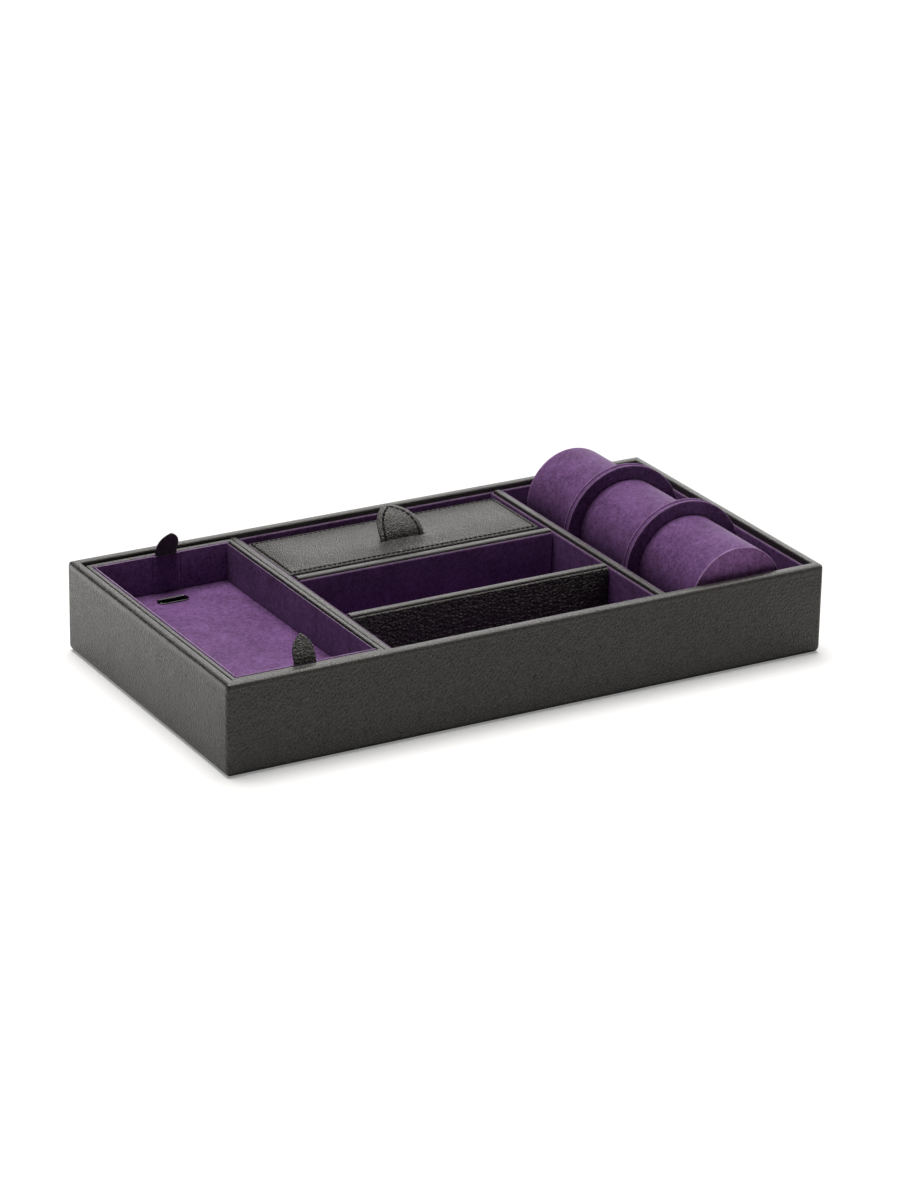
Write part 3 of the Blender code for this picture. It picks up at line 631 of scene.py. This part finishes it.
def stitch_row(name, seats, material, length, thickness):
    """Short stitches at seats of (point, direction, up), each a slim rounded bead."""
    bm = bmesh.new()
    shape = ((-0.5, 0.35), (-0.42, 0.8), (-0.2, 1.0), (0.2, 1.0), (0.42, 0.8), (0.5, 0.35))
    for point, direction, up in seats:
        along = direction.normalized()
        side = along.cross(up).normalized()
        over = side.cross(along)
        rings = []
        for t, share in shape:
            ring = []
            for k in range(STITCH_SIDES):
                a = math.tau * k / STITCH_SIDES
                offset = side * math.cos(a) + over * math.sin(a)
                ring.append(bm.verts.new(point + along * (t * length)
                                         + offset * (thickness / 2 * share)))
            rings.append(ring)
        for lower, upper in zip(rings, rings[1:]):
            for i in range(STITCH_SIDES):
                j = (i + 1) % STITCH_SIDES
                bm.faces.new((lower[i], lower[j], upper[j], upper[i]))
        bm.faces.new(rings[0])
        bm.faces.new(rings[-1])
    return finish_piece(name, bm, material, (), smooth=60.0, steady=True)


# Tray


def build_tray():
    top = span("outer_wrap")[1][2]
    stand = span("base_board")[1][2] + BOARD_GAP
    section = wrap_section(WALL, OUTER_SKIN, 0.0, top, stand, FOOT_RADIUS, TURN_UNDER,
                           RIM_OUTER_RADIUS, RIM_INNER_RADIUS, RIM_BENDS)
    wrapped_frame("tray_leather", "outer_wrap", section, OUTER_CORNER, (32, 18))
    folded_cap("left_divider_leather", "left_divider_wrap", "Y")
    folded_cap("right_divider_leather", "right_divider_wrap", "Y")
    folded_cap("back_divider_leather", "back_divider_wrap", "X")
    folded_cap("front_divider_leather", "front_divider_wrap", "X")
    for node in ("left_floor_lining", "right_floor_lining", "back_floor_lining",
                 "middle_floor_lining", "front_floor_lining"):
        soft_board(node.replace("lining", "suede"), node, SUEDE, FLOOR_EASE)
    for node in ("back_wall_liner", "front_wall_liner", "right_wall_liner", "roll_bay_liner",
                 "left_divider_liner", "right_divider_liner", "lid_bay_panel",
                 "middle_bay_back_panel", "middle_bay_front_panel"):
        soft_board(node + "_suede", node, SUEDE, LINER_EASE)
        # The liners' cut edges carry a painted highlight, dimmed as painted shade
        cut_edge(node, RUBBED_SHADED_SUEDE)
    # The front bay's panel takes the darker leather, whose darkness is painted shade
    soft_board("front_bay_panel_leather", "front_bay_leather_panel", SHADED_BAY_LEATHER, LEATHER_PANEL_EASE)
    for node in ("insert_left_rail", "insert_right_rail", "lid_left_ledge", "lid_right_ledge"):
        soft_board(node + "_suede", node, SUEDE, LEDGE_EASE)


# Lift-out insert


def pill(half_length, half_width, centre, steps=10):
    """Outline of a slot with round ends, lying along X."""
    cx, cy = centre
    run = half_length - half_width
    return arc(cx + run, cy, half_width, -90, 90, steps) + arc(cx - run, cy, half_width, 90, 270, steps)


def plate_with_slot(name, node, hole, material):
    """A sheet with rounded edges and a slot through it."""
    low, high = span(node)
    half = [(high[i] - low[i]) / 2 for i in (0, 1)]
    rim = outline(*half, PLATE_CORNER, middle(low, high), (8, 16))
    bm = bmesh.new()
    layers = []
    for z in (low[2], high[2]):
        edges = []
        loops = []
        for points in (rim, hole):
            verts = [bm.verts.new((x, y, z)) for x, y in points]
            loops.append(verts)
            edges += [bm.edges.new((verts[i], verts[(i + 1) % len(verts)])) for i in range(len(verts))]
        bmesh.ops.triangle_fill(bm, edges=edges, use_beauty=True)
        layers.append(loops)
    for lower, upper in zip(*layers):
        for i in range(len(lower)):
            j = (i + 1) % len(lower)
            bm.faces.new((lower[i], lower[j], upper[j], upper[i]))
    return finish_piece(name, bm, material, (node,))


def lipped_panel(name, node, material):
    """A side panel whose suede stands up as a thin lip, with a groove beside the leather."""
    low, high = span(node)
    r = PANEL_LIP / 2
    groove = high[2] - PANEL_GROOVE
    section = [(low[0], low[2]), (high[0], low[2]), (high[0], groove), (low[0] + PANEL_LIP, groove)]
    section += arc(low[0] + r, high[2] - r, r, 0, 180)
    loft(name, carried(section, low, high, 1), material, (node,))


def build_insert():
    low, high = span("insert_wrap")
    lip = span("insert_base_board")[1][2] + BOARD_GAP
    section = wrap_section(INSERT_WALL, INSERT_SKIN, low[2], high[2], lip, INSERT_ROUND,
                           INSERT_TURN_UNDER, INSERT_ROUND, INSERT_ROUND)
    wrapped_frame("insert_leather", "insert_wrap", section, INSERT_CORNER, (8, 16))
    soft_board("insert_left_suede", "insert_left_panel", SUEDE, INSERT_PANEL_EASE)
    # The insert panels' cut edges carry a painted highlight
    cut_edge("insert_left_panel", LIT_CUT_SUEDE, EDGE_THIN, EDGE_THIN)
    lipped_panel("insert_right_suede", "insert_right_panel", SUEDE)
    low, high = span("insert_right_panel")
    cut_edge("insert_right_panel", LIT_CUT_SUEDE, EDGE_INSET, high[0] - low[0] - PANEL_LIP + EDGE_INSET)

    ring_low, ring_high = span("slot_grommet")
    slot = middle(ring_low, ring_high)
    outer = ((ring_high[0] - ring_low[0]) / 2, (ring_high[1] - ring_low[1]) / 2)
    inner = (outer[0] - RING_FLANGE, outer[1] - RING_FLANGE)
    wall = (inner[0] + RING_TUBE, inner[1] + RING_TUBE)
    hole = pill(wall[0] + RING_ROOM, wall[1] + RING_ROOM, slot)
    plate_with_slot("insert_floor_suede", "insert_floor_lining", hole, SUEDE)
    seat = span("insert_floor_lining")[1][2] + 0.1
    top = ring_high[2]
    rings = [(wall, ring_low[2]), (wall, seat), (outer, seat)]
    for x, z in arc(-RING_EASE, top - RING_EASE, RING_EASE, 0, 90, 3):
        rings.append(((outer[0] + x, outer[1] + x), z))
    for x, z in arc(1.0, -1.0, 1.0, 90, 180, 6):
        rings.append(((inner[0] + RING_LIP * x, inner[1] + RING_LIP * x), top + RING_LIP_DEPTH * z))
    rings.append((inner, ring_low[2]))
    loft("cable_grommet", [level(pill(*size, slot), z) for size, z in rings], PLASTIC,
         ("slot_grommet",), closed=True, steady=True)

    for side, way, values in (("back", 1, BACK_PULL), ("front", -1, FRONT_PULL)):
        end_panel(side, way)
        low, high = span("insert_%s_pull_tab" % side)
        cx = middle(low, high)[0]
        wall_y = high[1] if way > 0 else low[1]
        root = (cx, wall_y - way * values[2] / 2, span("insert_%s_panel" % side)[1][2])
        tongue("%s_pull_tab" % side, "insert_%s_pull_tab" % side, root, -way, values, PULL_TAIL,
               TAB_LEATHER if way > 0 else BOLD_LEATHER, None, PULL_SET)


def end_panel(side, way):
    """The suede end panel with the low strip that covers the tab's tail."""
    node = "insert_%s_panel" % side
    low, high = span(node)
    cx = middle(*span("insert_%s_pull_tab" % side))[0]
    outer = high[1] if way > 0 else low[1]
    proud = low[1] if way > 0 else high[1]
    flat = proud + way * STRIP_SET_BACK
    right = cx + STRIP_HALF
    left = cx - STRIP_HALF
    ramp = STRIP_CREASE[::-1] + STRIP_RISE
    face = [(right - a, flat - way * b) for a, b in ramp]
    face += [(left + a, flat - way * b) for a, b in ramp[::-1]]
    section = [(low[0], outer), (high[0], outer), (high[0], flat)] + face + [(low[0], flat)]
    rings = [level(section, low[2]), level(section, high[2] - 0.35)]
    for shrink, z in ((0.12, high[2] - 0.1), (0.35, high[2])):
        rings.append([(x, y + (way * shrink if abs(y - outer) > 0.3 else 0.0), z) for x, y in section])
    loft("insert_%s_suede" % side, rings, SUEDE, (node,))
    for part, x0, x1 in (("left", low[0], left), ("middle", left, right), ("right", right, high[0])):
        lip = flat - way * STRIP_HEIGHT if part == "middle" else flat
        strip = lip_section(*sorted((lip + way * EDGE_INSET, lip + way * PANEL_LIP)), high[2] + EDGE_PROUD)
        run = x1 - x0 - EDGE_END
        places = [x0 + EDGE_END / 2 + run * k / STRIP_EDGE_STEPS for k in range(STRIP_EDGE_STEPS + 1)]
        loft("insert_%s_edge_%s" % (side, part), [[(x, y, z) for y, z in strip] for x in places],
             LIT_CUT_SUEDE)


# Tabs


def tab_path(length, lean, curl, tail):
    """Function from distance along a tab to (forward, up, lean), straight below its root."""
    steps = 120
    points = [(0.0, 0.0, 0.0)]
    for i in range(1, steps + 1):
        t = i / steps
        angle = math.radians(lean * min(1.0, t / ROOT_SHARE) + curl * t)
        f, u = points[-1][:2]
        points.append((f + math.sin(angle) * length / steps, u + math.cos(angle) * length / steps, angle))

    def at(v):
        if v <= 0.0:
            return 0.0, max(v, -tail), 0.0
        s = min(v / length, 1.0) * steps
        k = min(int(s), steps - 1)
        a, b = points[k], points[k + 1]
        return tuple(a[i] + (b[i] - a[i]) * (s - k) for i in range(3))

    return at


def arch_line(inset, width, length, tail, steps=18):
    """Half outline of a pointed arch, set in from its edge: from the tail to the tip."""
    straight = length - width * math.sqrt(0.75)
    edge = width / 2 - inset
    points = [(edge, -tail + (straight + tail) * k / 6) for k in range(6)]
    radius = width - inset
    tip = math.acos(min(1.0, (width / 2) / radius))
    for k in range(steps + 1):
        a = tip * k / steps
        points.append((radius * math.cos(a) - width / 2, straight + radius * math.sin(a)))
    return points


def tongue(name, node, root, way, values, tail, material, seam, bent):
    """A two-sided leather tab: a pointed arch bent along its length, with rounded edges."""
    width, length, thickness, lean, curl = values
    at = tab_path(length, lean, curl, tail)
    half = thickness / 2
    insets = [0.0, 0.05, 0.15, 0.32, 0.55, half]
    if seam:
        insets += [1.4, 1.9, seam + 1.4] + [seam + 0.2 * k for k in range(-4, 5)]
    insets += [width * share for share in (0.2, 0.27, 0.35, 0.43, 0.48)]
    insets = sorted(set(round(i, 3) for i in insets))

    def place(u, v, lift):
        f, z, angle = at(v)
        edge = (2.0 * u / width) ** 2 * smooth_share(v, 10.0)
        back = f - math.cos(angle) * lift + edge * (bent[0] if u < 0 else bent[1])
        side = bent[2] * max(0.0, v / length) ** 2
        return Vector((root[0] + u + side, root[1] + way * back, root[2] + z + math.sin(angle) * lift))

    def fullness(inset):
        lift = half * math.sqrt(max(0.0, 1.0 - (1.0 - min(inset / half, 1.0)) ** 2))
        if seam:
            lift -= TAB_GROOVE * math.exp(-((inset - seam) / TAB_GROOVE_WIDTH) ** 2)
            lift += TAB_SWELL * min(max((inset - seam) / 3.0, 0.0), 1.0)
        return lift

    bm = bmesh.new()
    layers = []
    for side in (1, -1):
        lines = []
        for inset in insets:
            right = arch_line(inset, width, length, tail)
            path = right + [(-u, v) for u, v in right[-2::-1]]
            lift = side * fullness(inset)
            lines.append([bm.verts.new(place(u, v, lift)) for u, v in path])
        layers.append(lines)
    for line in layers[1][:1]:
        for i, vert in enumerate(line):
            bmesh.ops.weld_verts(bm, targetmap={vert: layers[0][0][i]})
    layers[1][0] = layers[0][0]
    for lines in layers:
        for lower, upper in zip(lines, lines[1:]):
            for i in range(len(lower) - 1):
                bm.faces.new((lower[i], lower[i + 1], upper[i + 1], upper[i]))
        bm.faces.new(lines[-1])
    front = [line[0] for line in layers[0]] + [line[-1] for line in layers[0][::-1]]
    rear = [line[0] for line in layers[1][1:]] + [line[-1] for line in layers[1][:0:-1]]
    bm.faces.new(front + rear[::-1])
    piece = finish_piece(name, bm, material, (node,), smooth=50.0, steady=True)
    if seam:
        seats = tab_seats(width, length, seam, place, half)
        stitch_row(name + "_stitches", seats, THREAD, *TAB_STITCH[:2])
    return piece


def tab_seats(width, length, seam, place, half):
    """Seats of the stitches that follow the arch on its upper side."""
    right = arch_line(seam, width, length, 0.0, 60)
    path = right + [(-u, v) for u, v in right[-2::-1]]
    lift = half - TAB_GROOVE + 0.35
    points = [place(u, v, lift) for u, v in path]
    raised = [place(u, v, lift + 1.0) for u, v in path]
    return spaced(points, raised, *TAB_STITCH[2:])


def spaced(points, raised, pitch, start):
    """Evenly spaced seats along a path, with the surface's own up direction."""
    seats = []
    run = 0.0
    due = start
    for a, b, top in zip(points, points[1:], raised):
        step = (b - a).length
        while step > 0 and run + step >= due:
            seats.append((a.lerp(b, (due - run) / step), b - a, top - a))
            due += pitch
        run += step
    return seats


# Padded lid


def smooth_share(distance, run):
    return math.sin(min(max(distance / run, 0.0), 1.0) * math.pi / 2)


def lid_height(x, y, low, high, edge, inset):
    """Height of the padded lid at a point that lies inset from its edge."""
    near_x = min(x - low[0], high[0] - x)
    near_y = min(y - low[1], high[1] - y)
    pad = smooth_share(near_x - LID_SEAM, 12.0) * smooth_share(near_y - LID_SEAM, LID_CROWN_RUN)
    z = edge + LID_CROWN * pad
    z += 0.25 * smooth_share(inset - LID_SEAM, 0.8) * (1.0 - 0.12 * pad)
    z -= SEAM_DEPTH * math.exp(-((inset - LID_SEAM) / SEAM_WIDTH) ** 2)
    slit = low[1] + SLIT_FROM_FRONT
    reach = max(0.0, 1.0 - ((x - middle(low, high)[0]) / SLIT_REACH) ** 2)
    z += SLIT_BULGE * math.exp(-((y - slit + 2.6) / 2.4) ** 2) * reach ** 0.8
    z -= SLIT_DEPTH * math.exp(-((y - slit) / SLIT_WIDTH) ** 2) * min(1.0, 3.0 * reach)
    z += LID_WAVER * noise.noise(Vector((x, y, 3.0)) / 17.0) * pad
    return z


def build_lid():
    low, high = span("lid_cover")
    centre = middle(low, high)
    half_x = (high[0] - low[0]) / 2
    half_y = (high[1] - low[1]) / 2
    edge = high[2] - LID_CROWN
    recess = span("lid_board")[1][2] + BOARD_GAP
    sides = (40, 14)

    def ring(inset, z=None):
        points = outline(half_x - inset, half_y - inset, LID_CORNER - inset, centre, sides)
        if z is not None:
            return level(points, z)
        return [(x, y, lid_height(x, y, low, high, edge, inset)) for x, y in points]

    rings = [ring(half_y - LID_MIDDLE, recess), ring(LID_SKIRT, recess), ring(LID_SKIRT, low[2]),
             ring(LID_FOLD, low[2]), ring(0.0, low[2] + 0.2)]
    for r, z in arc(0.0, 0.0, LID_EDGE_ROUND, 0, 75, 5):
        rings.append(ring(LID_EDGE_ROUND - r, edge - LID_EDGE_ROUND + z))
    insets = [0.7, 1.1, 1.5]
    insets += [LID_SEAM + SEAM_WIDTH * k / 2 for k in range(-3, 4)]
    insets += [3.3, 3.9, 4.7]
    while insets[-1] < half_y - 2 * LID_MIDDLE:
        insets.append(insets[-1] + LID_RING_SPACING)
    insets.append(half_y - LID_MIDDLE)
    rings += [ring(inset) for inset in insets]
    cover = loft("padded_lid", rings, LID_LEATHER, ("lid_cover",), smooth=60.0)

    points = [Vector(p) for p in ring(LID_SEAM)]
    points.append(points[0])
    points = [p + Vector((0.0, 0.0, 0.12)) for p in points]
    raised = [p + Vector((0.0, 0.0, 1.0)) for p in points]
    stitch_row("lid_stitches", spaced(points, raised, *LID_STITCH[2:]), THREAD, *LID_STITCH[:2])

    root = (centre[0], low[1] + SLIT_FROM_FRONT, high[2])
    tongue("lid_pull_tab", "lid_tab", root, 1, LID_TAB, LID_TAB_TAIL, TAB_LEATHER, TAB_SEAM,
           LID_TAB_SET)
    soft_board("lid_lining_suede", "lid_lining", SUEDE, FLOOR_EASE)


# Watch roll


def turned(name, profile, axis, material, replaced, foot=None, closed=False, soft=0.0):
    """A profile of (y, radius) turned round an axis along Y, with an optional flat foot."""
    rings = []
    for y, radius in profile:
        ring = []
        for k in range(TURN_STEPS):
            a = math.tau * (k + 0.5) / TURN_STEPS
            r = radius
            if soft:
                r += soft * noise.noise(Vector((math.cos(a) * 2.2, y / 16.0, math.sin(a) * 2.2)))
            z = axis[1] + r * math.sin(a)
            if foot is not None:
                z = max(z, foot)
            ring.append((axis[0] + r * math.cos(a), y, z))
        rings.append(ring)
    return loft(name, rings, material, replaced, closed=closed, steady=True)


def build_roll():
    low, high = span("roll_cover")
    axis = ((low[0] + high[0]) / 2, (low[2] + high[2]) / 2)
    radius = (high[0] - low[0]) / 2
    inner = radius - ROLL_SKIN
    front = span("roll_front_end")[0][1]
    back = span("roll_back_end")[1][1]
    start = low[1] - ROLL_PROUD
    end = high[1] + ROLL_PROUD
    profile = [(start, inner), (start, radius - ROLL_ROUND - 0.05)]
    for y, r in arc(start + ROLL_ROUND, radius - ROLL_ROUND, ROLL_ROUND, 180, 90, 4):
        profile.append((y, r))
    for k in range(1, ROLL_RINGS):
        profile.append((start + ROLL_ROUND + (end - start - 2 * ROLL_ROUND) * k / ROLL_RINGS, radius))
    for y, r in arc(end - ROLL_ROUND, radius - ROLL_ROUND, ROLL_ROUND, 90, 0, 4):
        profile.append((y, r))
    profile += [(end, radius - ROLL_ROUND - 0.05), (end, inner)]
    sleeve = turned("roll_suede", profile, axis, SUEDE, ("roll_cover",), closed=True, soft=ROLL_WAVER)

    for name, node, face, way in (("roll_front_cap", "roll_front_end", front, 1),
                                  ("roll_back_cap", "roll_back_end", back, -1)):
        rim = [(face + way * (CAP_BEAD - y), radius - CAP_BEAD + r)
               for y, r in arc(0.0, 0.0, CAP_BEAD, 0, 180, LIP_STEPS)]
        profile = [(face + way * 0.35, 2.0), (face + way * 0.3, radius * 0.6),
                   (face + way * 0.25, radius - 2.2), (face + way * 0.42, radius - 1.3)]
        profile += rim + [(face + way * 1.0, radius - 2.0), (face + way * 1.0, 2.0)]
        # The end caps wear the lighter suede, which is painted light
        turned(name, profile, axis, LIT_END_SUEDE, (node,))
        rubbed_highlight_line(name + "_edge", axis, face + way * 0.28, radius - 0.30, SEAM_LINE)

    for name, node in (("front_hoop_suede", "front_hoop"), ("back_hoop_suede", "back_hoop")):
        low, high = span(node)
        bore = radius + HOOP_ROOM
        outer = high[0] - axis[0]
        y0, y1 = low[1], high[1]
        bead = HOOP_BEAD
        profile = [(y0 + 0.25, bore), (y0 + 0.05, bore + 0.4), (y0, bore + 1.0),
                   (y0 + 0.12, bore + 2.0), (y0 + 0.12, outer - 2.0), (y0, outer - 1.0)]
        profile += arc(y0 + bead, outer - bead, bead, 180, 40, 6)
        profile += [(y0 + 1.5, outer - 0.6), (y0 + 2.0, outer - 0.55), ((y0 + y1) / 2, outer - 0.4),
                    (y1 - 2.0, outer - 0.55), (y1 - 1.5, outer - 0.6)]
        profile += arc(y1 - bead, outer - bead, bead, 140, 0, 6)
        profile += [(y1, outer - 1.0), (y1 - 0.12, outer - 2.0), (y1 - 0.12, bore + 2.0),
                    (y1, bore + 1.0), (y1 - 0.05, bore + 0.4), (y1 - 0.25, bore)]
        turned(name, profile, axis, SUEDE, (node,), foot=low[2], closed=True)
        for k, y in enumerate((y0 + 0.45, y1 - 0.45)):
            rubbed_highlight_line("%s_edge_%d" % (node, k + 1), axis, y, outer - 0.15, HIGHLIGHT_LINE_WIDTH, low[2] + 0.1)


def rubbed_highlight_line(name, axis, y, radius, thickness, foot=None):
    """The paler line along an edge: partly nap rubbed off, partly a painted highlight where the edge
    catches light.
    """
    profile = arc(y, radius, thickness / 2, 0, 300, 5)
    turned(name, profile, axis, RUBBED_LIT_SUEDE, (), foot=foot, closed=True)


# Stage


def build_stage():
    bm = bmesh.new()
    bmesh.ops.create_grid(bm, x_segments=1, y_segments=1, size=8.0)
    mesh = bpy.data.meshes.new("floor")
    bm.to_mesh(mesh)
    bm.free()
    floor = bpy.data.objects.new("floor", mesh)
    bpy.context.scene.collection.objects.link(floor)
    material, tree, shader = new_material("pale_floor")
    shader.inputs["Roughness"].default_value = 0.9
    shader.inputs["Specular IOR Level"].default_value = 0.1
    shader.inputs["Emission Color"].default_value = (1.0, 1.0, 1.0, 1.0)
    path = add_node(tree, "ShaderNodeLightPath")
    place = add_node(tree, "ShaderNodeTexCoord").outputs["Object"]
    axes = add_node(tree, "ShaderNodeSeparateXYZ", {0: place})
    across = add_node(tree, "ShaderNodeMath", {0: axes.outputs["X"]}, operation="ABSOLUTE").outputs[0]
    sweep = add_node(tree, "ShaderNodeMath",
                     {0: remap(tree, axes.outputs["Y"], -0.10, 0.16, FLOOR_GLOW_FRONT, FLOOR_GLOW_BACK),
                      1: remap(tree, across, 0.19, 0.26, 0.15, 1.0)}, operation="MULTIPLY").outputs[0]
    glossy = add_node(tree, "ShaderNodeMath", {0: path.outputs["Is Glossy Ray"], 1: sweep},
                      operation="MULTIPLY").outputs[0]
    far = add_node(tree, "ShaderNodeMath",
                   {0: remap(tree, axes.outputs["Y"], -0.40, -0.22, 1.0, 0.0),
                    1: path.outputs["Is Glossy Ray"]}, operation="MULTIPLY").outputs[0]
    tree.links.new(remap(tree, far, 0.0, 1.0, FLOOR_SHADE, FLOOR_FAR_SHADE), shader.inputs["Base Color"])
    glow = total(tree, [(path.outputs["Is Camera Ray"], FLOOR_GLOW), (glossy, 1.0)])
    tree.links.new(glow, shader.inputs["Emission Strength"])
    mesh.materials.append(material)


def light_scene():
    world = bpy.data.worlds.new("studio")
    bpy.context.scene.world = world
    world.use_nodes = True
    tree = world.node_tree
    background = tree.nodes["Background"]
    background.inputs["Color"].default_value = (1.0, 1.0, 1.0, 1.0)
    path = add_node(tree, "ShaderNodeLightPath")
    seen = add_node(tree, "ShaderNodeMath", {0: path.outputs["Is Camera Ray"],
                                             1: path.outputs["Is Transmission Ray"]},
                    operation="MAXIMUM").outputs[0]
    way = add_node(tree, "ShaderNodeTexCoord").outputs["Generated"]
    back = add_node(tree, "ShaderNodeSeparateXYZ", {0: way}).outputs["Y"]
    side = add_node(tree, "ShaderNodeSeparateXYZ", {0: way}).outputs["X"]
    shade = remap(tree, side, 0.04, 0.50, DARK_SIDE, 1.0)
    screen = add_node(tree, "ShaderNodeMath",
                      {0: remap(tree, back, -0.35, 0.20, SCREEN_FRONT, SCREEN_BACK), 1: shade},
                      operation="MULTIPLY").outputs[0]
    towards = add_node(tree, "ShaderNodeVectorMath", {0: way, 1: TOP_PANEL_WAY},
                       operation="DOT_PRODUCT").outputs["Value"]
    panel = remap(tree, towards, 0.86, 0.94, 0.0, TOP_PANEL)
    glossy = add_node(tree, "ShaderNodeMath",
                      {0: path.outputs["Is Glossy Ray"], 1: total(tree, [(screen, 1.0), (panel, 1.0)])},
                      operation="MULTIPLY").outputs[0]
    soft = remap(tree, back, -0.35, 0.40, FILL_FRONT, FILL_BACK)
    fill = add_node(tree, "ShaderNodeMath", {0: path.outputs["Is Diffuse Ray"], 1: soft},
                    operation="MULTIPLY").outputs[0]
    strength = total(tree, [(seen, 1.0), (glossy, 1.0), (fill, 1.0)])
    tree.links.new(strength, background.inputs["Strength"])
    lamp = bpy.data.lights.new("overhead", "SUN")
    lamp.energy = SUN_STRENGTH
    lamp.angle = math.radians(SUN_SPREAD)
    lamp.color = (1.0, 0.985, 0.96)
    lamp.specular_factor = SUN_GLOSS
    overhead = bpy.data.objects.new("overhead", lamp)
    overhead.rotation_euler = (math.radians(-SUN_FROM_BACK), math.radians(-SUN_FROM_LEFT), 0.0)
    bpy.context.scene.collection.objects.link(overhead)


def set_camera():
    azimuth = math.radians(CAMERA_AZIMUTH)
    elevation = math.radians(CAMERA_ELEVATION)
    roll = math.radians(CAMERA_ROLL)
    back = Vector((math.sin(azimuth) * math.cos(elevation), -math.cos(azimuth) * math.cos(elevation),
                   math.sin(elevation)))
    right = (-back).cross(Vector((0.0, 0.0, 1.0))).normalized()
    up = right.cross(-back)
    turned_right = right * math.cos(roll) + up * math.sin(roll)
    turned_up = up * math.cos(roll) - right * math.sin(roll)
    place = back * CAMERA_DISTANCE + turned_right * CAMERA_SIDE + turned_up * CAMERA_RISE
    matrix = Matrix((turned_right, turned_up, back)).transposed().to_4x4()
    matrix.translation = place * MM
    data = bpy.data.cameras.new("camera")
    data.lens = CAMERA_LENS
    data.sensor_width = 36.0
    data.clip_end = 50.0
    camera = bpy.data.objects.new("camera", data)
    camera.matrix_world = matrix
    bpy.context.scene.collection.objects.link(camera)
    bpy.context.scene.camera = camera
    bpy.context.scene.view_settings.view_transform = "Standard"


def dress_solids():
    """Better materials for the solids that stay."""
    slots = {"grey_board": BOARD, "black_base_sheet": BASE_SHEET}
    for part in frame["record"]["subparts"]:
        material = slots.get(part["material_slot"])
        if material:
            solid = frame["nodes"][part["node"]]
            solid.data.materials.clear()
            solid.data.materials.append(material)


build_stage()
light_scene()
set_camera()
build_tray()
build_insert()
build_lid()
build_roll()
dress_solids()
